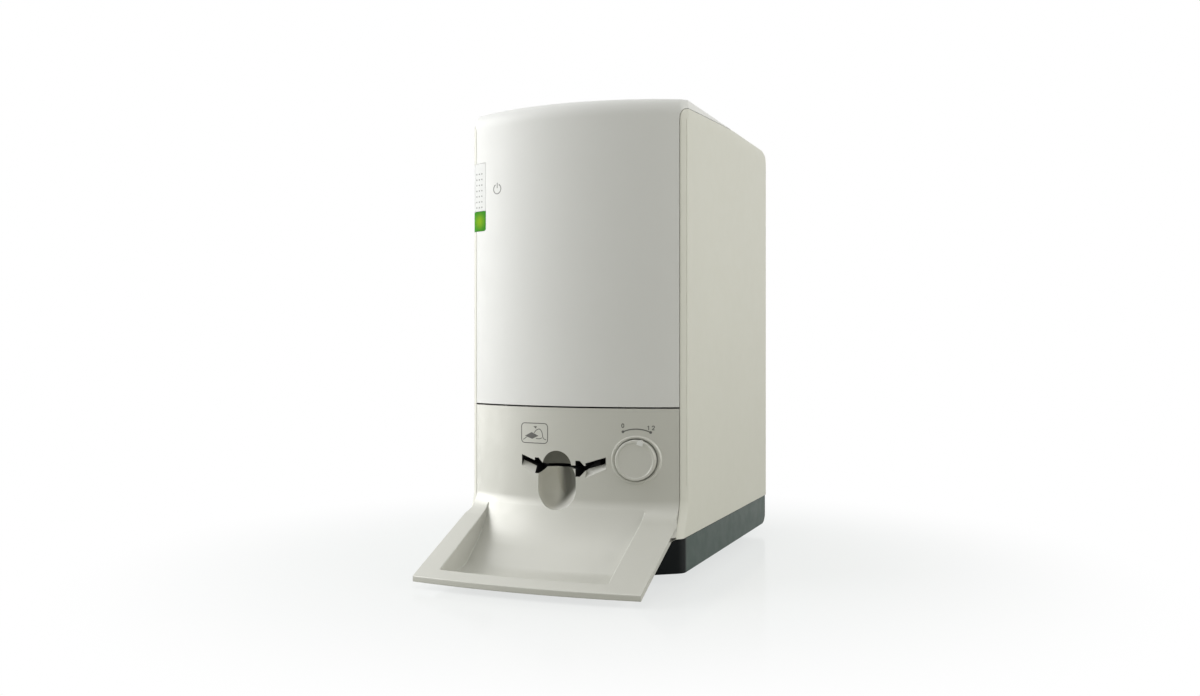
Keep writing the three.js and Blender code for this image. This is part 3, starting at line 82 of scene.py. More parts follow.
CHEEK_BOTTOM = 25.3
REAR_SEAM = 258
STRIP_INNER = -56.8
STRIP_REACH = 4
STRIP_BOTTOM = 203.9
STRIP_SPLIT = 216.2
STRIP_TOP = 245.4
STRIP_CORNER = 1.9
CHEEK_FLARE = 9.5
CHEEK_FLARE_TOP = 46
CHEEK_FLARE_BEND = (-0.6, 38)
CHEEK_RIB = 12
FLARE_TOP = 46
FLARE_TURN = 12
TRAY_REACH = 71
TRAY_FRONT = 76.5
TRAY_BOW = 5
TRAY_HALF = 67
TRAY_SLOPE = math.tan(math.radians(24))
TRAY_WIDEN = (7, 11)
LIP_BOTTOM = 3.6
LIP_TOP = 6.9
LIP_INNER = 68.5
LEDGE_THICKNESS = 3
TUB_WALL = 2.2
TUB_MARGIN = 1
FLANK_REACH = 21
POCKET_X = -3
POCKET_HALF = 50
POCKET_FLOOR = 5.9
POCKET_END = 61.5
SLOT_HEIGHT = 64.2
SLIT_OPENING = 1.9
SCOOP_X = -5
DIAL_X = 42
DIAL_Y = -8.93
DIAL_HEIGHT = 69.1
DIAL_TILT = math.radians(9)

# Reach of cutting bodies, as spans that go past everything
WIDE = (-100, 100)
DEEP = (-120, 260)
TALL = (-20, 320)
OVERRUN = 30

# How finished meshes are treated
SOLVER = "MANIFOLD"
WELD = 0.002
SLACK = 0.02
FLAT_ANGLE = math.radians(0.2)
SOFTEN_ANGLE = math.radians(38)
SHARP_ANGLE = math.radians(32)


# Building blocks, all in the millimetres of this script
def add_object(name, data):
    made = bpy.data.objects.new(name, data)
    bpy.context.scene.collection.objects.link(made)
    return made


def make_mesh(name, points, faces):
    mesh = bpy.data.meshes.new(name)
    mesh.from_pydata([place(*point) for point in points], [], faces)
    work = bmesh.new()
    work.from_mesh(mesh)
    bmesh.ops.recalc_face_normals(work, faces=work.faces)
    work.to_mesh(mesh)
    work.free()
    return add_object(name, mesh)


def band(low, high, size):
    """Four-sided faces between two closed rings of points, which start at low and at high."""
    steps = [(i, (i + 1) % size) for i in range(size)]
    return [(low + i, low + j, high + j, high + i) for i, j in steps]


def loft(name, rings):
    """A closed body through rings of equal length, capped at both ends."""
    size = len(rings[0])
    points = [point for ring in rings for point in ring]
    faces = [tuple(range(size)), tuple(range(len(points) - size, len(points)))]
    for low in range(0, len(points) - size, size):
        faces += band(low, low + size, size)
    return make_mesh(name, points, faces)


def along_x(a, b, s):
    return (s, a, b)


def along_y(a, b, s):
    return (a, s, b)


def along_z(a, b, s):
    return (a, b, s)


def prism(name, outline, span, way):
    return loft(name, [[way(a, b, s) for a, b in outline] for s in span])


def block(name, x, y, z):
    return prism(name, [(x[0], y[0]), (x[1], y[0]), (x[1], y[1]), (x[0], y[1])], z, along_z)


def shares(steps):
    return [i / steps for i in range(steps + 1)]


def circle(radius, sides):
    angles = [2 * math.pi * i / sides for i in range(sides)]
    return [(radius * math.cos(a), radius * math.sin(a)) for a in angles]


def turned(x, y, angle):
    """A flat point turned about the origin."""
    return x * math.cos(angle) - y * math.sin(angle), x * math.sin(angle) + y * math.cos(angle)


def bezier(start, bend, end, steps):
    """A quadratic curve without its first point."""
    line = []
    for s in shares(steps)[1:]:
        r = 1 - s
        line.append(tuple(r * r * a + 2 * r * s * b + s * s * c for a, b, c in zip(start, bend, end)))
    return line


def sided(sign, low, high):
    """A span at the right, or its mirror image at the left."""
    return (low, high) if sign > 0 else (-high, -low)


def beside(line, distance):
    """A line beside another, on the side that lies below where that one runs forward."""
    moved = []
    for i, (t, z) in enumerate(line):
        before = line[max(i - 1, 0)]
        after = line[min(i + 1, len(line) - 1)]
        run, rise = after[0] - before[0], after[1] - before[1]
        length = math.hypot(run, rise)
        moved.append((t + distance * rise / length, z - distance * run / length))
    return moved


def settle(piece):
    """Makes what a piece's modifiers give into its own mesh."""
    bpy.context.view_layer.update()
    graph = bpy.context.evaluated_depsgraph_get()
    mesh = bpy.data.meshes.new_from_object(piece.evaluated_get(graph))
    piece.modifiers.clear()
    piece.data = mesh


def combine(operation, target, others):
    for other in others:
        modifier = target.modifiers.new("combine", "BOOLEAN")
        modifier.operation = operation
        modifier.solver = SOLVER
        modifier.object = other
    settle(target)
    for other in others:
        bpy.data.objects.remove(other)
    return target


def fuse(target, *others):
    return combine("UNION", target, others)


def cut(target, *others):
    return combine("DIFFERENCE", target, others)


def common(target, *others):
    return combine("INTERSECT", target, others)


def tidy(mesh):
    """Welds points that lie together and joins faces that lie in one plane."""
    work = bmesh.new()
    work.from_mesh(mesh)
    bmesh.ops.remove_doubles(work, verts=work.verts, dist=WELD * MM)
    bmesh.ops.dissolve_degenerate(work, edges=work.edges, dist=WELD * MM)
    bmesh.ops.dissolve_limit(work, angle_limit=FLAT_ANGLE, verts=work.verts, edges=work.edges)
    work.to_mesh(mesh)
    work.free()


def soften(piece, width):
    modifier = piece.modifiers.new("soften", "BEVEL")
    modifier.width = width * MM
    modifier.segments = 2
    modifier.limit_method = "ANGLE"
    modifier.angle_limit = SOFTEN_ANGLE
    settle(piece)


def finish_piece(piece, body, slot, nodes, edge):
    """Softens a piece's edges, shades it, gives it its slot's material, ties it to its body, and hides the
    CAD nodes it stands for.
    """
    tidy(piece.data)
    soften(piece, edge)
    piece.data.materials.clear()
    piece.data.materials.append(materials[slot])
    for polygon in piece.data.polygons:
        polygon.material_index = 0
    piece.data.shade_smooth()
    piece.data.set_sharp_from_angle(angle=SHARP_ANGLE)
    weighted = piece.modifiers.new("normals", "WEIGHTED_NORMAL")
    weighted.keep_sharp = True
    weighted.mode = "FACE_AREA"
    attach(piece, body)
    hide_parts(*nodes)


def soften_node(node, body, slot, edge):
    """Shows a CAD node's shape with its hard edges rounded."""
    piece = add_object(f"{node}_soft", frame["nodes"][node].data.copy())
    finish_piece(piece, body, slot, [node], edge)


# Camera, from the photograph's perspective
CAMERA_PLACE = (258.4, -610.6, 135.0)
CAMERA_YAW = math.radians(21.65)
FOCAL_PIXELS = 1121
FRAME_PIXELS = 1200
AXIS_PIXEL = (599.6, 344.4)
FRAME_CENTRE_PIXEL = (600, 348)
SENSOR = 36


def make_camera():
    data = bpy.data.cameras.new("camera")
    data.sensor_width = SENSOR
    data.lens = FOCAL_PIXELS / FRAME_PIXELS * SENSOR
    data.shift_x = (FRAME_CENTRE_PIXEL[0] - AXIS_PIXEL[0]) / FRAME_PIXELS
    data.shift_y = (AXIS_PIXEL[1] - FRAME_CENTRE_PIXEL[1]) / FRAME_PIXELS
    data.clip_start = 0.01
    camera = add_object("camera", data)
    camera.location = place(*CAMERA_PLACE)
    camera.rotation_euler = (math.pi / 2, 0, CAMERA_YAW)
    bpy.context.scene.camera = camera


# Light and floor
def area_light(name, spot, aim, size, power, colour=(1, 1, 1)):
    data = bpy.data.lights.new(name, "AREA")
    data.shape = "RECTANGLE"
    data.size, data.size_y = size
    data.energy = power
    data.color = colour
    lamp = add_object(name, data)
    lamp.location = Vector(spot)
    lamp.rotation_euler = (Vector(aim) - Vector(spot)).to_track_quat("-Z", "Y").to_euler()


SIDE_COLOUR = (1.0, 0.99, 0.95)


def make_light():
    """Three soft lamps, placed in metres: a strong one at the left, weaker ones at the right and above."""
    area_light("key_light", (-1.52, -0.42, 0.65), (0, 0, 0.14), (1.1, 1.3), power=27.5)
    area_light("side_light", (1.5, 0.1, 0.6), (0, 0.05, 0.12), (1.2, 1.2), power=11, colour=SIDE_COLOUR)
    area_light("top_light", (-0.1, -0.3, 1.5), (0, 0, 0.1), (1.3, 1.3), power=5)


WORLD_LEVEL = 0.27
WORLD_COLOUR = (1.0, 1.0, 0.88)


def make_world():
    """A warm grey surround that the camera, gloss and glass see as white."""
    world = bpy.data.worlds.new("studio")
    world.use_nodes = True
    bpy.context.scene.world = world
    nodes, links = world.node_tree.nodes, world.node_tree.links
    dim = nodes["Background"]
    dim.inputs["Color"].default_value = (*WORLD_COLOUR, 1)
    dim.inputs["Strength"].default_value = WORLD_LEVEL
    white = nodes.new("ShaderNodeBackground")
    white.inputs["Color"].default_value = (1, 1, 1, 1)
    rays = nodes.new("ShaderNodeLightPath")
    seen = rays.outputs["Is Camera Ray"]
    for kind in ("Is Transmission Ray", "Is Glossy Ray"):
        either = nodes.new("ShaderNodeMath")
        either.operation = "MAXIMUM"
        links.new(seen, either.inputs[0])
        links.new(rays.outputs[kind], either.inputs[1])
        seen = either.outputs[0]
    mixed = nodes.new("ShaderNodeMixShader")
    links.new(seen, mixed.inputs["Fac"])
    links.new(dim.outputs[0], mixed.inputs[1])
    links.new(white.outputs[0], mixed.inputs[2])
    links.new(mixed.outputs[0], nodes["World Output"].inputs["Surface"])


FLOOR_RADIUS = 6.0
FLOOR_CLEAR_FROM = 0.1
FLOOR_CLEAR_TO = 0.34
FLOOR_CLEAR_NEAR = 0.78
# Grey of the painted shade pool that the camera sees on the floor near the object
FLOOR_SHADE_POOL = (0.89, 0.905, 0.9)
FLOOR_SEEN = (0.955, 0.965, 0.965)
FLOOR_BOUNCE = (0.52, 0.52, 0.47)
FLOOR_ROUGHNESS = 0.12


def make_floor():
    """A pale glossy floor whose far parts run out into the white background, with a painted grey pool of
    shade round the object.
    """
    mesh = bpy.data.meshes.new("floor")
    plane = bmesh.new()
    bmesh.ops.create_grid(plane, x_segments=1, y_segments=1, size=FLOOR_RADIUS)
    plane.to_mesh(mesh)
    plane.free()
    add_object("floor", mesh)
    made = Shader("studio_floor")
    made.set(roughness=FLOOR_ROUGHNESS)
    links = made.links
    spread = made.measured("LENGTH")
    far = made.ramp(spread, FLOOR_CLEAR_FROM, FLOOR_CLEAR_TO, FLOOR_CLEAR_NEAR, 1)
    seen = made.new("ShaderNodeLightPath").outputs["Is Camera Ray"]
    made.set(base_color=made.mix(seen, FLOOR_BOUNCE, FLOOR_SEEN))
    clear = made.new("ShaderNodeMath", operation="MULTIPLY")
    links.new(far, clear.inputs[0])
    links.new(seen, clear.inputs[1])
    glow = made.new("ShaderNodeEmission")
    # Painted shade: the camera sees the floor grey near the object and white farther out
    away = made.ramp(spread, FLOOR_CLEAR_FROM, FLOOR_CLEAR_TO)
    made.feed(glow, color=made.mix(away, FLOOR_SHADE_POOL, (1.0, 1.0, 1.0)))
    mixed = made.new("ShaderNodeMixShader")
    made.feed(mixed, fac=clear.outputs[0])
    links.new(made.principled.outputs[0], mixed.inputs[1])
    links.new(glow.outputs[0], mixed.inputs[2])
    links.new(mixed.outputs[0], made.nodes["Material Output"].inputs["Surface"])
    mesh.materials.append(made.material)


# Materials
NOISE_SPAN = (0.3, 0.7)
DRIFT_GRAIN = 60
GLOSS_GRAIN = 9
GLOSS_SPREAD = 0.04


class Shader:
    """A procedural material around one Principled shader."""

    def __init__(self, name):
        self.material = bpy.data.materials.new(name)
        self.material.use_nodes = True
        self.nodes = self.material.node_tree.nodes
        self.links = self.material.node_tree.links
        self.principled = self.nodes["Principled BSDF"]
        self.object_space = None

    def new(self, kind, **settings):
        node = self.nodes.new(kind)
        for key, value in settings.items():
            setattr(node, key, value)
        return node

    def feed(self, node, **values):
        """Sets a node's inputs by their names: a link where the value is an output."""
        for key, value in values.items():
            socket = node.inputs[key.replace("_", " ").title().replace("Ior", "IOR")]
            if isinstance(value, bpy.types.NodeSocket):
                self.links.new(value, socket)
            else:
                socket.default_value = value

    def set(self, **values):
        self.feed(self.principled, **values)

    def coordinates(self):
        if not self.object_space:
            self.object_space = self.new("ShaderNodeTexCoord").outputs["Object"]
        return self.object_space

    def stretched(self, scale):
        mapping = self.new("ShaderNodeMapping")
        self.feed(mapping, scale=scale, vector=self.coordinates())
        return mapping.outputs["Vector"]

    def noise(self, grain, detail=2.0, stretch=(1, 1, 1)):
        """Noise whose features are about grain millimetres wide."""
        texture = self.new("ShaderNodeTexNoise")
        self.feed(texture, scale=1 / (grain * MM), detail=detail, vector=self.stretched(stretch))
        return texture.outputs["Fac"]

    def measured(self, operation, other=(0, 0, 0)):
        """A number made of the surface's place and another vector."""
        node = self.new("ShaderNodeVectorMath", operation=operation)
        self.links.new(self.coordinates(), node.inputs[0])
        node.inputs[1].default_value = other
        return node.outputs["Value"]

    def nearness(self, point, reach):
        """1 at a point, falling to 0 at reach millimetres from it."""
        return self.ramp(self.measured("DISTANCE", place(*point)), 0, reach * MM, 1, 0)

    def along(self, direction, span):
        """0 before a span of millimetres along a direction, 1 after it."""
        return self.ramp(self.measured("DOT_PRODUCT", direction), span[0] * MM, span[1] * MM)

    def ramp(self, value, low, high, out_low=0.0, out_high=1.0):
        node = self.new("ShaderNodeMapRange", interpolation_type="SMOOTHSTEP")
        self.feed(node, from_min=low, from_max=high, to_min=out_low, to_max=out_high, value=value)
        return node.outputs["Result"]

    def mix(self, factor, first, second):
        node = self.new("ShaderNodeMix", data_type="RGBA")
        colours = [s for s in node.inputs if s.type == "RGBA"]
        for socket, colour in zip(colours, (first, second)):
            if isinstance(colour, tuple):
                socket.default_value = (*colour, 1)
            else:
                self.links.new(colour, socket)
        self.feed(node, factor=factor)
        return [s for s in node.outputs if s.type == "RGBA"][0]

    def patchy_roughness(self, grain, low, high, detail=3):
        """Roughness that changes between low and high in patches about grain millimetres wide."""
        self.set(roughness=self.ramp(self.noise(grain, detail), *NOISE_SPAN, low, high))

    def bump(self, height, depth):
        """Surface relief of about depth millimetres."""
        node = self.new("ShaderNodeBump")
        self.feed(node, distance=depth * MM, height=height)
        self.set(normal=node.outputs["Normal"])


def tinted(colour, factor):
    return tuple(min(1.0, c * factor) for c in colour)


def plastic(name, colour, roughness, grain, relief, metallic=0.0, gloss=0.5, drift=0.03):
    """Moulded or painted plastic: slow colour drift, varied gloss and a fine grain."""
    made = Shader(name)
    made.set(metallic=metallic, specular_ior_level=gloss)
    darker, lighter = tinted(colour, 1 - drift), tinted(colour, 1 + drift)
    made.set(base_color=made.mix(made.noise(DRIFT_GRAIN), darker, lighter))
    made.patchy_roughness(GLOSS_GRAIN, roughness - GLOSS_SPREAD, roughness + GLOSS_SPREAD)
    made.bump(made.noise(grain, 3), relief)
    return made.material


# Where along Y the plinth's painted shade on its front gives way to its own colour, and its gloss from the
# shaded front to the sides
PLINTH_SHADE_SPAN = (CASE_SHIFT - 1.5, CASE_SHIFT + 1.5)
PLINTH_SHADE_GLOSS = (0.12, 0.5)


def plinth(name, side, front):
    """Dark moulded plastic, with painted shade: flat black and less glossy on the front that stands under
    the tray, where the tray's shadow falls.
    """
    made = Shader(name)
    behind = made.along((0, 1, 0), PLINTH_SHADE_SPAN)
    drift = made.mix(made.noise(DRIFT_GRAIN), tinted(side, 0.96), tinted(side, 1.04))
    made.set(base_color=made.mix(behind, front, drift))
    made.set(specular_ior_level=made.ramp(behind, 0, 1, *PLINTH_SHADE_GLOSS))
    made.patchy_roughness(GLOSS_GRAIN, 0.36, 0.42)
    made.bump(made.noise(0.5, 3), 0.006)
    return made.material


def brushed(name, colour, roughness, stretch=(0.03, 1, 1)):
    made = Shader(name)
    made.set(metallic=1.0)
    streaks = made.noise(0.35, 3, stretch)
    made.set(base_color=made.mix(streaks, tinted(colour, 0.9), tinted(colour, 1.06)))
    made.set(roughness=made.ramp(streaks, *NOISE_SPAN, roughness - 0.07, roughness + 0.07))
    made.bump(streaks, 0.01)
    return made.material


def rubber(name, colour):
    made = Shader(name)
    speckle = made.noise(0.8, 4)
    made.set(base_color=made.mix(speckle, tinted(colour, 0.75), tinted(colour, 1.3)))
    made.patchy_roughness(5, 0.72, 0.9)
    made.bump(speckle, 0.06)
    return made.material


def clear_glass(name, colour):
    made = Shader(name)
    made.set(transmission_weight=0.9, roughness=0.04, ior=1.5)
    made.set(base_color=made.mix(made.noise(30), tinted(colour, 0.97), colour))
    made.bump(made.noise(12), 0.004)
    return made.material


def mirror_glass(name, colour):
    made = Shader(name)
    made.set(metallic=1.0)
    made.set(base_color=made.mix(made.noise(20), tinted(colour, 0.97), colour))
    made.patchy_roughness(15, 0.02, 0.06, detail=2)
    return made.material


# Masks of the recess's painted shade, at its right and above the slot, and of its painted highlight low
# down
RECESS_SHADE_RIGHT = (SCOOP_X - 4, SCOOP_X + 2)
RECESS_SHADE_UPPER = (SLOT_HEIGHT - 1, SLOT_HEIGHT + 1)
RECESS_HIGHLIGHT_SLANT = (0.7, 0, -0.72)
RECESS_HIGHLIGHT_LOW = (-36, -31.5)


def recess(name, light, dark, bright):
    """The finger recess, with painted light and shade: lit on its left, painted shade on its right and
    above the slot, and a painted highlight low down.
    """
    made = Shader(name)
    shade = made.new("ShaderNodeMath", operation="MAXIMUM")
    made.links.new(made.along((1, 0, 0), RECESS_SHADE_RIGHT), shade.inputs[0])
    made.links.new(made.along((0, 0, 1), RECESS_SHADE_UPPER), shade.inputs[1])
    low = made.along(RECESS_HIGHLIGHT_SLANT, RECESS_HIGHLIGHT_LOW)
    made.set(base_color=made.mix(low, made.mix(shade.outputs[0], light, dark), bright))
    made.set(metallic=0.1, specular_ior_level=0.2)
    made.patchy_roughness(GLOSS_GRAIN, 0.5, 0.58)
    made.bump(made.noise(0.25, 3), 0.006)
    return made.material


TRACK_SPACING = 4


def circuit_board(name, colour):
    made = Shader(name)
    cells = made.new("ShaderNodeTexVoronoi", distance="CHEBYCHEV", feature="DISTANCE_TO_EDGE")
    made.feed(cells, scale=1 / (TRACK_SPACING * MM), vector=made.coordinates())
    tracks = made.ramp(cells.outputs["Distance"], 0.05, 0.12)
    made.set(base_color=made.mix(tracks, tinted(colour, 1.7), colour))
    made.set(roughness=0.4, coat_weight=0.4)
    made.bump(tracks, 0.05)
    return made.material


def felt(name, colour):
    made = Shader(name)
    fibres = made.noise(0.25, 6, (1, 1, 0.35))
    made.set(base_color=made.mix(fibres, tinted(colour, 0.6), tinted(colour, 1.8)))
    made.set(roughness=0.95, sheen_weight=0.4)
    made.bump(fibres, 0.12)
    return made.material


LENS_MIDDLE = (-62.4, -1.5, (STRIP_BOTTOM + STRIP_SPLIT) / 2)
LENS_GLOW_REACH = 7


def lit_lens(name, edge, centre):
    """A green lens, paler at its middle where the lamp behind it shines through."""
    made = Shader(name)
    shade = made.mix(made.nearness(LENS_MIDDLE, LENS_GLOW_REACH), edge, centre)
    made.set(base_color=shade, specular_ior_level=0.02)
    made.set(emission_color=shade, emission_strength=0.05)
    made.patchy_roughness(4, 0.3, 0.4)
    made.bump(made.noise(0.6), 0.003)
    return made.material


def make_materials():
    return {
        "white_shell": plastic(
            "white_shell", (0.81, 0.815, 0.815), 0.4, 0.35, 0.006, gloss=0.25, drift=0.01
        ),
        "casing_shell": plastic("casing_shell", (0.70, 0.70, 0.64), 0.5, 0.4, 0.02, drift=0.015),
        "silver_panel": plastic(
            "silver_panel", (0.60, 0.60, 0.56), 0.42, 0.25, 0.008, metallic=0.12, gloss=0.6, drift=0.015
        ),
        # The plinth's second colour is painted shade, for its front in the tray's shadow
        "plinth_shell": plinth("plinth_shell", (0.014, 0.041, 0.034), (0.004, 0.006, 0.007)),
        "black_rubber": rubber("black_rubber", (0.03, 0.03, 0.03)),
        "black_plastic": plastic("black_plastic", (0.010, 0.010, 0.011), 0.55, 0.4, 0.02),
        "steel_sheet": brushed("steel_sheet", (0.55, 0.56, 0.57), 0.36, (1, 1, 0.04)),
        "steel_parts": brushed("steel_parts", (0.62, 0.62, 0.63), 0.25),
        "alloy_parts": brushed("alloy_parts", (0.7, 0.71, 0.72), 0.4),
        "board_green": circuit_board("board_green", (0.015, 0.12, 0.05)),
        "light_window": plastic("light_window", (0.66, 0.67, 0.67), 0.3, 0.6, 0.004, gloss=0.3),
        "green_lens": lit_lens("green_lens", (0.035, 0.25, 0.008), (0.22, 0.42, 0.002)),
        "clear_optic": clear_glass("clear_optic", (0.9, 0.96, 0.98)),
        "mirror_glass": mirror_glass("mirror_glass", (0.9, 0.92, 0.93)),
        "felt_strip": felt("felt_strip", (0.02, 0.02, 0.02)),
        # The recess's three colours are lit, shaded and highlighted copies of one grey, as painted light
        # and shade
        "recess": recess("recess", (0.68, 0.67, 0.61), (0.19, 0.19, 0.17), (0.85, 0.85, 0.82)),
        "grey_ink": plastic("grey_ink", (0.12, 0.12, 0.115), 0.5, 0.2, 0.002),
        "pale_ink": plastic("pale_ink", (0.27, 0.275, 0.27), 0.5, 0.2, 0.002),
    }


def dress_nodes(materials):
    """Every CAD node gets the material of its slot."""
    slots = {part["node"]: part["material_slot"] for part in frame["record"]["subparts"]}
    for name, node in frame["nodes"].items():
        node.data.materials.clear()
        node.data.materials.append(materials[slots[name]])


# Case shell
def front_y(x, inset=0.0):
    return BOW_CENTRE_Y - math.sqrt((BOW_RADIUS - inset) ** 2 - x**2)


def bow_line(start, end, inset, steps):
    xs = [start + (end - start) * s for s in shares(steps)]
    return [(x, front_y(x, inset)) for x in xs]


def front_corner(edge, half, start_y):
    """The side panel's front lip: the bow's end, a flat turned to the side, and a rounded edge."""
    line = [(edge + step, start_y + run) for step, run in LIP_STEPS]
    return line + bezier(line[-1], (half, start_y + LIP_RUN), (half, start_y + LIP_RUN + LIP_ROUND), 5)


def case_plan(inset, roll):
    """The case seen from above; roll moves its front back, and its sides in by less."""
    inner = inset + SIDE_ROLL * roll
    half = HALF_WIDTH - inner
    edge = half - CHEEK_WIDTH
    back = CASE_DEPTH - inner
    near = (half, back - REAR_CORNER_RADIUS)
    right = front_corner(edge, half, front_y(edge, inset + roll))
    right.append(near)
    right += bezier(near, (half, back), (half - REAR_CORNER_RADIUS, back), 8)
    left = [(-x, y) for x, y in reversed(right)]
    return bow_line(-edge, edge, inset + roll, 56) + right + left


def side_profile(inset):
    """The case seen from its side, with the round edge at the top of its back."""
    back, top = CASE_DEPTH - inset, CASE_HEIGHT - inset
    radius = REAR_TOP_RADIUS - inset
    turn = [math.pi / 2 * s for s in shares(12)]
    arc = [(back - radius + radius * math.cos(a), top - radius + radius * math.sin(a)) for a in turn]
    return [(DEEP[0], TALL[0]), (back, TALL[0])] + arc + [(DEEP[0], top)]


def envelope(inset):
    run, rise = TOP_ROLL - inset, TOP_ROLL_RISE - inset
    levels = [(-inset, 0)]
    for s in shares(12):
        turn = math.pi / 2 * s
        height = CASE_HEIGHT - inset - rise + rise * math.sin(turn)
        levels.append((height, run * (1 - math.cos(turn))))
    rings = [[(x, y, z) for x, y in case_plan(inset, roll)] for z, roll in levels]
    return common(loft("envelope", rings), prism("side", side_profile(inset), WIDE, along_x))


def shell():
    return cut(envelope(0), envelope(WALL))


def roof_wedge(lowered):
    """The space over the seam that rises backward between the hood and the side panels."""

    def line(y):
        return CASE_HEIGHT - TOP_ROLL + TOP_ROLL * y / ROOF_SPLIT_RUN - lowered

    start, end = -TRAY_FRONT, 2 * ROOF_SPLIT_RUN
    foot = (lowered, line(0) - WEDGE_TURN)
    outline = [(start, foot[1]), foot]
    outline += bezier(foot, (lowered, line(lowered)), (WEDGE_TURN, line(WEDGE_TURN)), 8)
    outline += [(end, line(end)), (start, line(end))]
    return prism("wedge", outline, WIDE, along_x)


def strip_space(bottom, top, shrink):
    """The light strip's space, with a round inner corner at the foot of its lens."""
    inner, low, high = STRIP_INNER - shrink, bottom + shrink, top - shrink
    outline = [(WIDE[0], low)]
    if bottom == STRIP_BOTTOM:
        corner = (inner - STRIP_CORNER, low)
        outline += [corner] + bezier(corner, (inner, low), (inner, low + STRIP_CORNER), 6)
    else:
        outline.append((inner, low))
    outline += [(inner, high), (WIDE[0], high)]
    return prism("strip", outline, (DEEP[0], STRIP_REACH - shrink), along_y)


def middle_block():
    return block("middle", (-MIDDLE_HALF, MIDDLE_HALF), DEEP, TALL)


def in_seam(x, depth, z):
    """Whether a point of a surface faces the seam between the hood and the lower panel, where painted
    shade in black goes.
    """
    return PANEL_TOP - SLACK < z < HOOD_BOTTOM + SLACK


def make_hood():
    kept = common(shell(), fuse(middle_block(), roof_wedge(0)))
    below = block("below", WIDE, DEEP, (TALL[0], HOOD_BOTTOM))
    behind = block("behind", WIDE, (CASE_DEPTH / 2, DEEP[1]), (TALL[0], REAR_SEAM))
    hood = cut(kept, below, behind, strip_space(STRIP_BOTTOM, STRIP_TOP, 0))
    hood.name = "hood_cover"
    finish_piece(hood, "case", "white_shell", ["front_hood"], edge=0.4)
    # Painted shade: the hood's faces in the seam are black
    add_painted_light_and_shade(hood, materials["black_plastic"], in_seam)


def flare_space(sign, gap):
    inner = CHEEK_INNER - gap
    front = [(inner, 0)] + front_corner(HALF_CHORD, HALF_WIDTH, 0)
    rear = [(HALF_WIDTH, CHEEK_RIB), (inner, CHEEK_RIB)]
    line = [(0, CHEEK_FLARE_TOP)]
    line += bezier(line[0], CHEEK_FLARE_BEND, (-CHEEK_FLARE, CHEEK_BOTTOM - gap), 10)
    rings = []
    for forward, z in line:
        moved = [(sign * x, y + forward - gap, z) for x, y in front]
        rings.append(moved + [(sign * x, y, z) for x, y in rear])
    return loft("flare", rings)


GROOVE_X = 68.0
GROOVE_WIDTH = 0.25
GROOVE_DEPTH = 0.3
GROOVE_SPAN = (FLARE_TOP + 8, CASE_HEIGHT - 12)


def lip_groove(sign):
    """A hairline down the side panel's front lip."""
    (x0, y0), (x1, y1) = LIP_STEPS
    bottom = y0 + (y1 - y0) * (GROOVE_X - HALF_CHORD - x0) / (x1 - x0) + GROOVE_DEPTH
    return block("groove", sided(sign, GROOVE_X, GROOVE_X + GROOVE_WIDTH), (-OVERRUN, bottom), GROOVE_SPAN)


def make_side_panel(sign, side):
    outward = block("outward", sided(sign, CHEEK_INNER, WIDE[1]), DEEP, (CHEEK_BOTTOM, TALL[1]))
    sheet = common(shell(), outward)
    panel = cut(fuse(sheet, flare_space(sign, 0)), roof_wedge(SEAM_GAP))
    cut(panel, strip_space(STRIP_BOTTOM, STRIP_TOP, 0), lip_groove(sign))
    panel.name = f"{side}_casing"
    finish_piece(panel, "case", "casing_shell", [f"{side}_side_panel"], edge=0.35)


# Status light strip
DOT_COLUMNS = (-64.8, -62.55, -60.3)
DOT_ROWS = 7
DOT_SPAN = (218.5, 238.9)
DOT_RADIUS = 0.5


def strip_piece(name, bottom, top):
    piece = common(shell(), strip_space(bottom, top, STRIP_GAP))
    piece.name = name
    return piece


def make_status_strip():
    window = strip_piece("light_bar_window", STRIP_SPLIT - STRIP_GAP, STRIP_TOP)
    finish_piece(window, "case", "light_window", ["status_window"], edge=0.15)
    lens = strip_piece("light_bar_lens", STRIP_BOTTOM, STRIP_SPLIT)
    finish_piece(lens, "case", "green_lens", ["status_lens"], edge=0.3)
    dots = []
    for x in DOT_COLUMNS:
        for s in shares(DOT_ROWS - 1):
            z = DOT_SPAN[0] + (DOT_SPAN[1] - DOT_SPAN[0]) * s
            dots.append([(x + a, z + b) for a, b in circle(DOT_RADIUS, 14)])
    print_marks("light_bar_dots", dots, "pale_ink")


# Printed marks on the bowed front
PRINT_PROUD = 0.06
PRINT_SUNK = 0.1
SLICE = 1.2
THIN = 1e-4
NUDGE = 1e-6
JOIN_SHARE = 0.3


def span_at(patch, x):
    """Lowest and highest point of a convex outline at x."""
    heights = []
    for (ax, az), (bx, bz) in zip(patch, patch[1:] + patch[:1]):
        if min(ax, bx) <= x <= max(ax, bx) and ax != bx:
            heights.append(az + (bz - az) * (x - ax) / (bx - ax))
    return min(heights), max(heights)


def slices(patch):
    """A wide convex outline as narrow upright slices, which can follow the bow."""
    places = sorted({x for x, z in patch})
    if places[-1] - places[0] < SLICE:
        return [patch]
    cuts = []
    for start, end in zip(places, places[1:]):
        steps = max(1, round((end - start) / SLICE))
        cuts += [start + (end - start) * s for s in shares(steps)[:-1]]
    cuts.append(places[-1])
    parts = []
    for start, end in zip(cuts, cuts[1:]):
        if end - start > THIN:
            (low0, high0), (low1, high1) = span_at(patch, start + NUDGE), span_at(patch, end - NUDGE)
            corners = [(start, low0), (end, low1), (end, high1), (start, high0)]
            parts.append([c for i, c in enumerate(corners) if c != corners[i - 1]])
    return parts


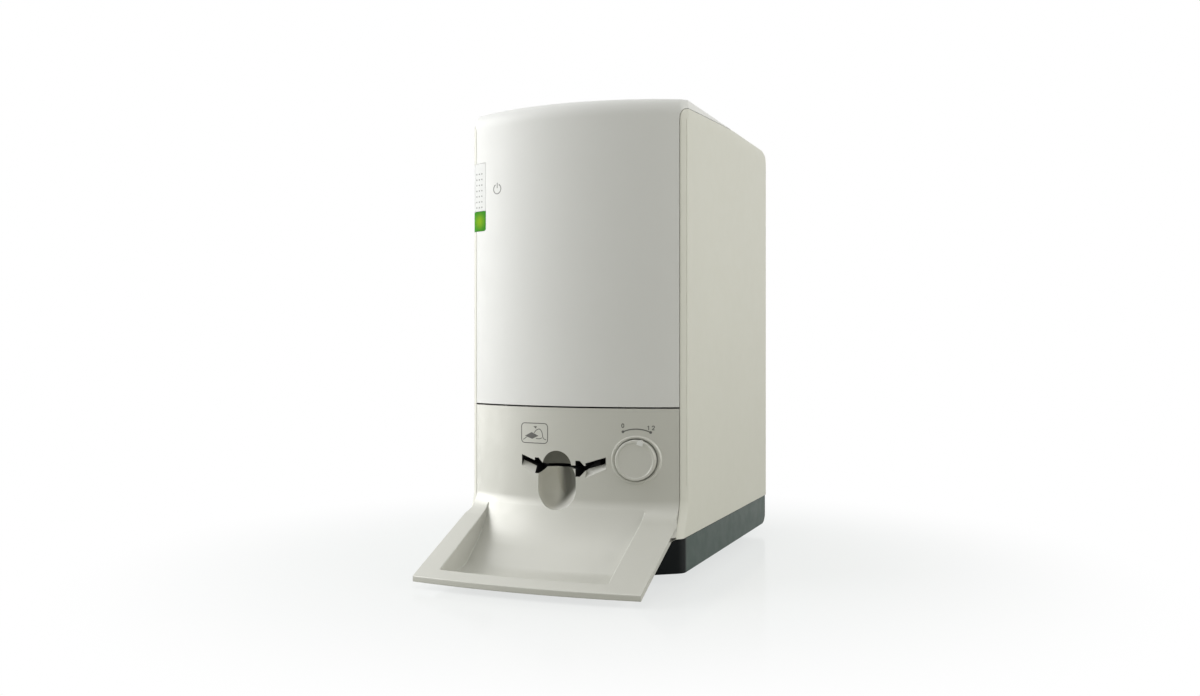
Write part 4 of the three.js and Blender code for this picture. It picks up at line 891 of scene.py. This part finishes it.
def print_marks(name, patches, ink):
    """Thin bodies for flat patches, each an outline of x and z, laid on the bowed front."""
    points, faces = [], []
    for patch in [part for patch in patches for part in slices(patch)]:
        low, size = len(points), len(patch)
        for sunk in (-PRINT_PROUD, PRINT_SUNK):
            faces.append(tuple(range(len(points), len(points) + size)))
            points += [(x, front_y(x) + sunk, z) for x, z in patch]
        faces += band(low, low + size, size)
    piece = make_mesh(name, points, faces)
    piece.data.materials.append(materials[ink])
    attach(piece, "case")


def stroke(line, width, closed=False):
    """Four-sided patches that draw a line of the given width."""
    ends = list(zip(line, line[1:] + line[:1])) if closed else list(zip(line, line[1:]))
    patches = []
    for (ax, az), (bx, bz) in ends:
        length = math.hypot(bx - ax, bz - az)
        ux, uz = (bx - ax) / length * width / 2, (bz - az) / length * width / 2
        sx, sz = ax - ux * JOIN_SHARE, az - uz * JOIN_SHARE
        ex, ez = bx + ux * JOIN_SHARE, bz + uz * JOIN_SHARE
        patches.append([(sx - uz, sz + ux), (sx + uz, sz - ux), (ex + uz, ez - ux), (ex - uz, ez + ux)])
    return patches


def arc(x, z, radius, start, end, steps):
    """Points round (x, z), with angles in degrees clockwise from the top."""
    turns = [math.radians(start + (end - start) * s) for s in shares(steps)]
    return [(x + radius * math.sin(a), z + radius * math.cos(a)) for a in turns]


def disc(x, z, radius):
    return [(x + a, z + b) for a, b in circle(radius, 16)]


STANDBY_X = -47.3
STANDBY_Z = 228.4
STANDBY_RADIUS = 2.9
STANDBY_LINE = 0.6
STANDBY_OPENING = 28
STANDBY_BAR = (0.6, 3.6)


def print_standby():
    """An open ring with an upright bar, on the touch key."""
    ring = arc(STANDBY_X, STANDBY_Z, STANDBY_RADIUS, STANDBY_OPENING, 360 - STANDBY_OPENING, 30)
    bar = [(STANDBY_X, STANDBY_Z + up) for up in STANDBY_BAR]
    marks = stroke(ring, STANDBY_LINE) + stroke(bar, STANDBY_LINE)
    print_marks("standby_sign", marks, "pale_ink")


SCALE_RADIUS = 17.6
SCALE_FROM = -24.5
SCALE_TO = 26.5
SCALE_LINE = 0.62
SCALE_DOT = 0.8
NUMERALS = [("0", 34.6, 88.6), ("1", 48.8, 87.4), ("2", 51.3, 87.4)]
NUMERAL_HEIGHT = 2.2
NUMERAL_LINE = 0.42


def numeral_strokes(character, x, z):
    """A plain 0, 1 or 2 with its middle at (x, z)."""
    up = NUMERAL_HEIGHT / 2
    across = up * 0.55
    if character == "0":
        turns = [2 * math.pi * s for s in shares(20)[:-1]]
        line = [(x + across * math.cos(a), z + up * math.sin(a)) for a in turns]
        return stroke(line, NUMERAL_LINE, closed=True)
    if character == "1":
        return stroke([(x - across, z + across), (x, z + up), (x, z - up)], NUMERAL_LINE)
    turns = [math.pi * (1 - 1.2 * s) for s in shares(10)]
    hook = [(x + across * math.cos(a), z + up - across + across * math.sin(a)) for a in turns]
    return stroke(hook + [(x - across, z - up), (x + across, z - up)], NUMERAL_LINE)


def print_dial_scale():
    """An arc with a dot at each end, and the numerals of the plate sizes."""
    patches = stroke(arc(DIAL_X, DIAL_HEIGHT, SCALE_RADIUS, SCALE_FROM, SCALE_TO, 24), SCALE_LINE)
    for end in (SCALE_FROM, SCALE_TO):
        x, z = arc(DIAL_X, DIAL_HEIGHT, SCALE_RADIUS, end, end, 1)[0]
        patches.append(disc(x, z, SCALE_DOT))
    for numeral in NUMERALS:
        patches += numeral_strokes(*numeral)
    print_marks("dial_scale", patches, "grey_ink")


SIGN_X = (-28.7, -10.8)
SIGN_Z = (77.2, 88.8)
SIGN_CORNER = 2.2
SIGN_LINE = 0.45
HAND_LINE = 0.4


def print_plate_sign():
    """A plain sign in a rounded frame: a hand that lays a plate down."""
    x0, x1 = SIGN_X
    z0, z1 = SIGN_Z
    r = SIGN_CORNER
    border = arc(x0 + r, z1 - r, r, 270, 360, 6) + arc(x1 - r, z1 - r, r, 0, 90, 6)
    border += arc(x1 - r, z0 + r, r, 90, 180, 6) + arc(x0 + r, z0 + r, r, 180, 270, 6)
    patches = stroke(border, SIGN_LINE, closed=True)
    patches.append([(-26.2, 81.2), (-21.2, 79.6), (-16.9, 81.5), (-21.6, 83.5)])
    hand = [(-27.4, 79.0), (-25.0, 80.6)]
    finger = [(-19.9, 83.2)] + bezier((-19.9, 83.2), (-17.6, 86.0), (-16.0, 85.4), 6)
    finger += bezier((-16.0, 85.4), (-14.4, 84.6), (-14.1, 81.4), 6)
    finger += bezier((-14.1, 81.4), (-13.8, 79.6), (-11.8, 79.4), 5)
    palm = [(-18.6, 80.0)] + bezier((-18.6, 80.0), (-16.4, 79.4), (-14.6, 80.4), 5)
    for line in (hand, finger, palm):
        patches += stroke(line, HAND_LINE)
    patches.append([(-20.4, 86.9), (-18.0, 87.1), (-18.7, 85.7)])
    print_marks("plate_sign", patches, "grey_ink")


# Lower panel
def slope_height(t):
    return LIP_TOP + (TRAY_REACH - t) * TRAY_SLOPE


def ledge_height(t):
    """Height of the panel's front face beside the pocket."""
    if t <= 0:
        return FLARE_TOP
    if t >= FLARE_TURN:
        return slope_height(t)
    s = math.sqrt(t / FLARE_TURN)
    bend, end = slope_height(0), slope_height(FLARE_TURN)
    return (1 - s) ** 2 * FLARE_TOP + 2 * s * (1 - s) * bend + s * s * end


def swept(t, x):
    """Place in depth of a point that lies t forward of the wall, along the bow and the lip."""
    wall_y = front_y(x)
    lip_y = -TRAY_FRONT + TRAY_BOW * (x / TRAY_HALF) ** 2
    return wall_y - t * (wall_y - lip_y) / TRAY_REACH if t > 0 else wall_y - t


def panel_x(t, u):
    grow = min(max((t - TRAY_WIDEN[0]) / (TRAY_WIDEN[1] - TRAY_WIDEN[0]), 0), 1)
    return (MIDDLE_HALF + (TRAY_HALF - MIDDLE_HALF) * grow) * (2 * u - 1)


def bow_loft(name, profile, place_x, steps):
    rings = []
    for u in shares(steps):
        ring = [(place_x(t, u), t, z) for t, z in profile]
        rings.append([(x, swept(t, x), z) for x, t, z in ring])
    return loft(name, rings)


TURN_SHARES = [s**2 for s in shares(14)[1:]]
LEDGE_LINE = [(0, PANEL_TOP), (0, FLARE_TOP)]
LEDGE_LINE += [(FLARE_TURN * s, ledge_height(FLARE_TURN * s)) for s in TURN_SHARES]
LIP_START = 70.2
LIP_EDGE = 0.6


def panel_sheet():
    straight = (LIP_START, ledge_height(LIP_START))
    foot = (TRAY_REACH, LIP_BOTTOM + LIP_EDGE)
    lip = bezier(straight, (TRAY_REACH, LIP_TOP), (TRAY_REACH, LIP_TOP - LIP_EDGE), 5) + [foot]
    lip += bezier(foot, (TRAY_REACH, LIP_BOTTOM), (TRAY_REACH - LIP_EDGE, LIP_BOTTOM), 5)
    under = beside(LEDGE_LINE[1:] + [(LIP_INNER, ledge_height(LIP_INNER))], LEDGE_THICKNESS)
    profile = LEDGE_LINE + [straight] + lip
    profile += under[1:][::-1] + [(-WALL, FLARE_TOP), (-WALL, PANEL_TOP)]
    return bow_loft("panel_sheet", profile, panel_x, 56)


# The pocket, as places forward of the wall and heights
FLOOR_START = 1.6
UPPER_TURN = [(8.4, 25.9), (18.4, 18.4)]
LOWER_TURN = [(30, 9.7), (35, POCKET_FLOOR + 0.05), (46, POCKET_FLOOR)]


def make_floor_line():
    """The pocket's floor: a hollow turn out of the panel's face, a straight slope, and a turn to level."""
    start = (FLOOR_START, ledge_height(FLOOR_START) + 0.1)
    return [start] + bezier(start, *UPPER_TURN, 16) + LOWER_TURN[:1] + bezier(*LOWER_TURN, 12)


FLOOR_LINE = make_floor_line()
FRONT_RISE = [(59.2, POCKET_FLOOR)]
FRONT_RISE += bezier(FRONT_RISE[0], (61.4, POCKET_FLOOR), (61.9, 7.6), 6)
FRONT_RISE += bezier((62.1, 8.6), (62.4, 10.9), (64.4, ledge_height(64.4) + 0.05), 6)
POCKET_BACK = 1.2
FOOT_FILLET = 0.7
RIM_FILLET = 0.8
RIM_CLEAR = 0.5


def fillet_rise(radius, away):
    """How far a fillet has risen at a distance from the wall that it meets."""
    return radius - math.sqrt(max(radius**2 - (radius - away) ** 2, 0))


def pocket_section(x, lift, drop):
    """A section of the pocket: its floor raised by lift, or its ledge lowered by drop."""
    line = []
    for t, z in FLOOR_LINE + FRONT_RISE:
        ledge = ledge_height(t)
        height = max(ledge - drop, z) if lift is None else z + lift
        line.append((t, min(height, ledge + RIM_CLEAR)))
    line += [(FRONT_RISE[-1][0], PANEL_TOP), (POCKET_BACK, PANEL_TOP)]
    return [(x, swept(t, x), z) for t, z in line]


def pocket_space():
    """The plate pocket with a rounded rim and rounded feet along its side walls."""
    wall = [(RIM_FILLET, None, -RIM_CLEAR)]
    for s in shares(5)[1:]:
        wall.append((RIM_FILLET * (1 - s), None, RIM_FILLET * (1 - math.sqrt(1 - s * s))))
    for s in shares(6):
        inward = FOOT_FILLET * s
        wall.append((-inward, fillet_rise(FOOT_FILLET, inward), None))
    sections = [(-POCKET_HALF - away, lift, drop) for away, lift, drop in wall]
    inner = POCKET_HALF - FOOT_FILLET
    sections += [(inner * (2 * s - 1), 0, None) for s in shares(34)[1:-1]]
    sections += [(POCKET_HALF + away, lift, drop) for away, lift, drop in reversed(wall)]
    return loft("pocket", [pocket_section(POCKET_X + x, lift, drop) for x, lift, drop in sections])


LEDGE_COVER = 0.8
LIP_COVER = 1.2


def below_ledge():
    """The space behind the panel's face, where parts that back it up may stand."""
    line = beside(LEDGE_LINE + [(LIP_START, ledge_height(LIP_START))], LEDGE_COVER)
    below = [(TRAY_REACH - LIP_COVER, -OVERRUN), (-OVERRUN, -OVERRUN), (-OVERRUN, PANEL_TOP)]
    return bow_loft("below", line + below, panel_x, 40)


def tub_x(t, u):
    return POCKET_X + (POCKET_HALF + TUB_WALL) * (2 * u - 1)


def panel_tub():
    end = POCKET_END + TUB_WALL + TUB_MARGIN
    line = beside(FLOOR_LINE + [(POCKET_END, POCKET_FLOOR)], TUB_WALL)
    rim = [(end, POCKET_FLOOR - TUB_WALL), (end, PANEL_TOP), (-TUB_WALL, PANEL_TOP)]
    return common(bow_loft("tub", line + rim, tub_x, 34), below_ledge())


def panel_flank(sign):
    span = sided(sign, MIDDLE_HALF - TUB_WALL, TRAY_HALF)
    flank = block("flank", span, (-FLANK_REACH, 0), (CHEEK_BOTTOM, FLARE_TOP))
    return common(flank, below_ledge())


# Finger recess: two round lobes that meet at the slot
SCOOP_RADIUS = 12.1
SCOOP_LOW = 51.0
SCOOP_SHOULDER = 56.6
UPPER_RADIUS = 9.4
UPPER_CENTRE = 63.9
SCOOP_WALL = 1.8
RIDGE_X = -4.5
RIDGE_LEFT = -16
RIDGE_RIGHT = 7
RIDGE_BACK = 16
RIDGE_FALL = (4.2, 5.2)
RIDGE_ENDS = [(44, 12.1), (SLOT_HEIGHT - SLIT_OPENING / 2, 8.6)]


def scoop_radius(z):
    if z > SLOT_HEIGHT:
        return math.sqrt(max(UPPER_RADIUS**2 - (z - UPPER_CENTRE) ** 2, 0))
    away = max(SCOOP_LOW - z, z - SCOOP_SHOULDER, 0)
    return math.sqrt(max(SCOOP_RADIUS**2 - away**2, 0))


def scoop_space(grown):
    """A body of revolution on the front face; grown makes it larger all round."""
    low, high = SCOOP_LOW - SCOOP_RADIUS, UPPER_CENTRE + UPPER_RADIUS
    turns = [math.pi * s for s in shares(36)]
    heights = [(low + high) / 2 - (high - low) / 2 * math.cos(a) for a in turns]
    middle_y = front_y(SCOOP_X)
    rings = []
    for z, turn in zip(heights, turns):
        radius = scoop_radius(z) + grown * math.sin(turn) + SLACK
        moved = z - grown * math.cos(turn)
        rings.append([(SCOOP_X + a, middle_y + b, moved) for a, b in circle(radius, 56)])
    return loft("scoop", rings)


def scoop_ridge():
    """A low ridge down the middle of the recess, which parts its light side from its dark one."""
    front = front_y(RIDGE_X)
    rings = []
    for z, depth in RIDGE_ENDS:
        outline = [(RIDGE_X, depth), (RIDGE_LEFT, depth + RIDGE_FALL[0]), (RIDGE_LEFT, RIDGE_BACK)]
        outline += [(RIDGE_RIGHT, RIDGE_BACK), (RIDGE_RIGHT, depth + RIDGE_FALL[1])]
        rings.append([(x, front + away, z) for x, away in outline])
    return common(loft("ridge", rings), scoop_space(SCOOP_WALL / 2))


THROAT_SPAN = (-31.4, 28)
THROAT_BACK = -1.6
THROAT_HALF = 8.5
BACKING_INSET = 0.8
BACKING_BOTTOM = 31
WING_HALF = 2.9
WING_RISE = 3.2
WING_RAMP = 2.2
WING_RAMP_DEPTH = 3.0
WING_MARGIN = 0.2
NOTCH_HALF = 4.6
NOTCH_NECK = 2.6
NOTCH_REACH = 7
NOTCH_MARGIN = 0.05
# From this depth a notch's walls get painted shade in black
NOTCH_SHADE_FROM = 0.6
WINGS = [(-28.4, -19, 0), (25, 13, -0.5)]
NOTCHES = [(-19.4, 0), (6.9, -0.9)]
WING_SILL = (1.0, 2.6)
SLIT_SPAN = (-19.4, 13.4)
# Span of the slit whose faces get painted shade in black
SLIT_SHADE_SPAN = (-19, 13)
RECESS_FROM = 0.4
RECESS_MARGIN = 0.3


def wing_space(outer_x, inner_x, drop):
    """A slot wing: level at the recess, rising outward, with a sloping sill behind its lower edge."""
    rings = []
    for depth, climb in ((-OVERRUN, 0), (0, 0), (WING_RAMP_DEPTH, 1), (2 * OVERRUN, 1)):
        lows, highs = [], []
        for x, z, sill in ((outer_x, WING_RISE, WING_SILL[0]), (inner_x, drop, WING_SILL[1])):
            y, low = front_y(x) + depth, SLOT_HEIGHT + z - WING_HALF - sill
            lows.append((x, y, low + climb * (WING_RAMP + sill)))
            highs.append((x, y, SLOT_HEIGHT + z + WING_HALF))
        rings.append(lows + highs[::-1])
    return loft("wing", rings)


def notch_space(x, drop):
    """An arrowhead cut into the slot, square at its left and pointed at its right, whose walls get painted
    shade in black.
    """
    z = SLOT_HEIGHT + drop
    outline = [(x, z - NOTCH_HALF), (x + NOTCH_NECK, z - NOTCH_HALF), (x + NOTCH_REACH, z)]
    outline += [(x + NOTCH_NECK, z + NOTCH_HALF), (x, z + NOTCH_HALF)]
    return prism("notch", outline, (DEEP[0], OVERRUN), along_y)


def slit_space():
    z = (SLOT_HEIGHT - SLIT_OPENING / 2, SLOT_HEIGHT + SLIT_OPENING / 2)
    return block("slit", SLIT_SPAN, (DEEP[0], OVERRUN), z)


# Dial and its dish, in a frame that is turned to the dial's tilt
DIAL_SIDES = 72
DISH_RADIUS = 12.2
DISH_DEPTH = 4
DISH_WALL = 3.5
DISH_RIM = 3.6
RING_HALF = 0.85
RING_SIDES = 12
SHAFT_HOLE = 3.2
WASHER_HOLE = 6.3


def dial_place(x, y, z):
    across, back = turned(x, y, DIAL_TILT)
    return (DIAL_X + across, DIAL_Y + back, DIAL_HEIGHT + z)


def dial_loft(name, rings):
    """A round body from pairs of radius and depth, in the dial's frame."""
    return loft(name, [[dial_place(a, y, b) for a, b in circle(r, DIAL_SIDES)] for r, y in rings])


def dish_space():
    return dial_loft("dish", [(DISH_RADIUS, -OVERRUN), (DISH_RADIUS, DISH_DEPTH)])


def dish_ring():
    """A round bead on the bowed face, along the dish's edge."""
    points, faces = [], []
    for spin in [2 * math.pi * s for s in shares(DIAL_SIDES)[:-1]]:
        for across, out in circle(RING_HALF, RING_SIDES):
            radius = DISH_RADIUS + RING_HALF + across
            x = DIAL_X + radius * math.cos(spin)
            points.append((x, front_y(x) + out, DIAL_HEIGHT + radius * math.sin(spin)))
    for i in range(DIAL_SIDES):
        faces += band(i * RING_SIDES, (i + 1) % DIAL_SIDES * RING_SIDES, RING_SIDES)
    return make_mesh("ring", points, faces)


def dish_boss():
    radius = DISH_RADIUS + DISH_RIM
    return dial_loft("boss", [(radius, -DISH_DEPTH), (radius, DISH_DEPTH + DISH_WALL)])


def panel_backing():
    """What stands behind the panel's wall: the throat of the slot, the recess and the dish."""
    z = (SLOT_HEIGHT - THROAT_HALF, SLOT_HEIGHT + THROAT_HALF)
    throat = block("throat", THROAT_SPAN, (-BOW_DEPTH, THROAT_BACK), z)
    bow = bow_line(-MIDDLE_HALF, MIDDLE_HALF, BACKING_INSET, 56)
    plan = bow + [(MIDDLE_HALF, OVERRUN), (-MIDDLE_HALF, OVERRUN)]
    behind = prism("behind", plan, (BACKING_BOTTOM, PANEL_TOP), along_z)
    return common(fuse(throat, dish_boss(), scoop_space(SCOOP_WALL)), behind)


def in_recess(x, depth, z):
    """Whether a point of the panel's surface belongs to the finger recess."""
    away = math.hypot(x - SCOOP_X, depth + front_y(x) - front_y(SCOOP_X))
    return depth > RECESS_FROM and away < scoop_radius(z) + RECESS_MARGIN


def in_slot(x, depth, z):
    """Whether a point of the panel's surface lies deep inside the slot, where painted shade in black goes.
    """
    above = z - SLOT_HEIGHT
    for outer_x, inner_x, drop in WINGS:
        share = (x - inner_x) / (outer_x - inner_x)
        away = abs(above - drop - (WING_RISE - drop) * share)
        if -SLACK < share < 1 + SLACK and depth > WING_RAMP_DEPTH and away < WING_HALF + WING_MARGIN:
            return True
    for start, drop in NOTCHES:
        run = x - start
        half = NOTCH_HALF * min(1, (NOTCH_REACH - run) / (NOTCH_REACH - NOTCH_NECK))
        within = -NOTCH_MARGIN < run < NOTCH_REACH + NOTCH_MARGIN
        if within and depth > NOTCH_SHADE_FROM and abs(above - drop) < half + NOTCH_MARGIN:
            return True
    return SLIT_SHADE_SPAN[0] < x < SLIT_SHADE_SPAN[1] and abs(above) < SLIT_OPENING / 2 + SLACK


def add_painted_light_and_shade(piece, material, belongs):
    """Paints light and shade onto a place: gives the faces whose middle belongs to it a second material.
    """
    piece.data.materials.append(material)
    index = len(piece.data.materials) - 1
    for polygon in piece.data.polygons:
        x, y, z = polygon.center / MM
        if belongs(x, y - CASE_SHIFT - front_y(x), z):
            polygon.material_index = index


def make_lower_panel():
    panel = fuse(panel_sheet(), panel_tub(), panel_flank(-1), panel_flank(1), panel_backing())
    cut(panel, flare_space(-1, SEAM_GAP), flare_space(1, SEAM_GAP), pocket_space(), scoop_space(0))
    fuse(panel, scoop_ridge(), dish_ring())
    cut(panel, slit_space())
    cut(panel, *[wing_space(*wing) for wing in WINGS], *[notch_space(*notch) for notch in NOTCHES])
    shaft = dial_loft("shaft", [(SHAFT_HOLE, -OVERRUN), (SHAFT_HOLE, OVERRUN)])
    washer = dial_loft("washer", [(WASHER_HOLE, DISH_DEPTH + DISH_WALL), (WASHER_HOLE, OVERRUN)])
    cut(panel, dish_space(), shaft, washer)
    panel.name = "lower_panel"
    finish_piece(panel, "case", "silver_panel", ["lower_front_panel"], edge=0.45)
    # Painted light and shade in the finger recess
    add_painted_light_and_shade(panel, materials["recess"], in_recess)
    # Painted shade: the panel's faces deep in the slot are black, as the deep slot and the black guides
    # behind it look
    add_painted_light_and_shade(panel, materials["black_plastic"], in_slot)
    # Painted shade: the panel's faces in the seam are black
    add_painted_light_and_shade(panel, materials["black_plastic"], in_seam)


DIAL_RADIUS = 11.6
DIAL_EDGE = 0.45
DIAL_PROUD = 3.8
DIAL_FACE = [(10.2, 0), (9.9, 0.25), (5, 0.3), (0.05, 0.3)]
DIAL_POINTER = math.radians(17)
TAB_HALF = 1.7
TAB_INNER = 9.0
TAB_REACH = 12.1
TAB_PROUD = 0.8
TAB_ROOT = 3
TAB_MARGIN = 0.1


def on_pointer(x, depth, z):
    """Whether a point of the knob's surface lies on the face of its raised pointer, which gets a painted
    highlight in white.
    """
    back = turned(x - DIAL_X, depth + front_y(x) - DIAL_Y, -DIAL_TILT)[1]
    return back < -DIAL_PROUD - TAB_MARGIN


def dial_disc():
    """The knob's body, with a rounded edge and a slightly sunk face."""
    rings = [(DIAL_RADIUS, DISH_DEPTH - SEAM_GAP), (DIAL_RADIUS, DIAL_EDGE - DIAL_PROUD)]
    for s in shares(5)[1:]:
        turn = math.pi / 2 * s
        across, out = DIAL_EDGE * (1 - math.cos(turn)), DIAL_EDGE * (1 - math.sin(turn))
        rings.append((DIAL_RADIUS - across, out - DIAL_PROUD))
    rings += [(radius, sunk - DIAL_PROUD) for radius, sunk in DIAL_FACE]
    return dial_loft("dial_disc", rings)


def dial_tab():
    """The knob's pointer, a raised tab with a round tip, turned to where it points at rest."""
    turns = [math.pi * s for s in shares(12)]
    outline = [(TAB_HALF * math.cos(a), TAB_REACH - TAB_HALF + TAB_HALF * math.sin(a)) for a in turns]
    outline += [(-TAB_HALF, TAB_INNER), (TAB_HALF, TAB_INNER)]
    pointing = [turned(x, z, -DIAL_POINTER) for x, z in outline]
    depths = (-DIAL_PROUD - TAB_PROUD, TAB_ROOT - DIAL_PROUD)
    return loft("dial_tab", [[dial_place(x, y, z) for x, z in pointing] for y in depths])


def make_dial():
    knob = fuse(dial_disc(), dial_tab())
    knob.name = "dial_knob"
    finish_piece(knob, "dial", "silver_panel", ["selector_dial"], edge=0.3)
    # Painted highlight: the pointer's raised face is white
    add_painted_light_and_shade(knob, materials["white_shell"], on_pointer)


FEET = [f"foot_{corner}" for corner in ("front_left", "front_right", "rear_left", "rear_right")]
SOFTENED_NODES = [
    ("base_tray", "case", "plinth_shell", 1.2),
    ("rear_cover", "case", "casing_shell", 0.3),
    *[(foot, "case", "black_rubber", 0.5) for foot in FEET],
    ("power_inlet", "case", "black_plastic", 0.4),
    ("switch_body", "case", "black_plastic", 0.4),
    ("switch_rocker", "rocker", "black_plastic", 0.4),
]

bpy.context.scene.view_settings.view_transform = "Standard"
make_camera()
make_light()
make_world()
make_floor()
materials = make_materials()
dress_nodes(materials)
make_hood()
make_side_panel(-1, "left")
make_side_panel(1, "right")
make_status_strip()
make_lower_panel()
make_dial()
print_standby()
print_dial_scale()
print_plate_sign()
for node, body, slot, edge in SOFTENED_NODES:
    soften_node(node, body, slot, edge)
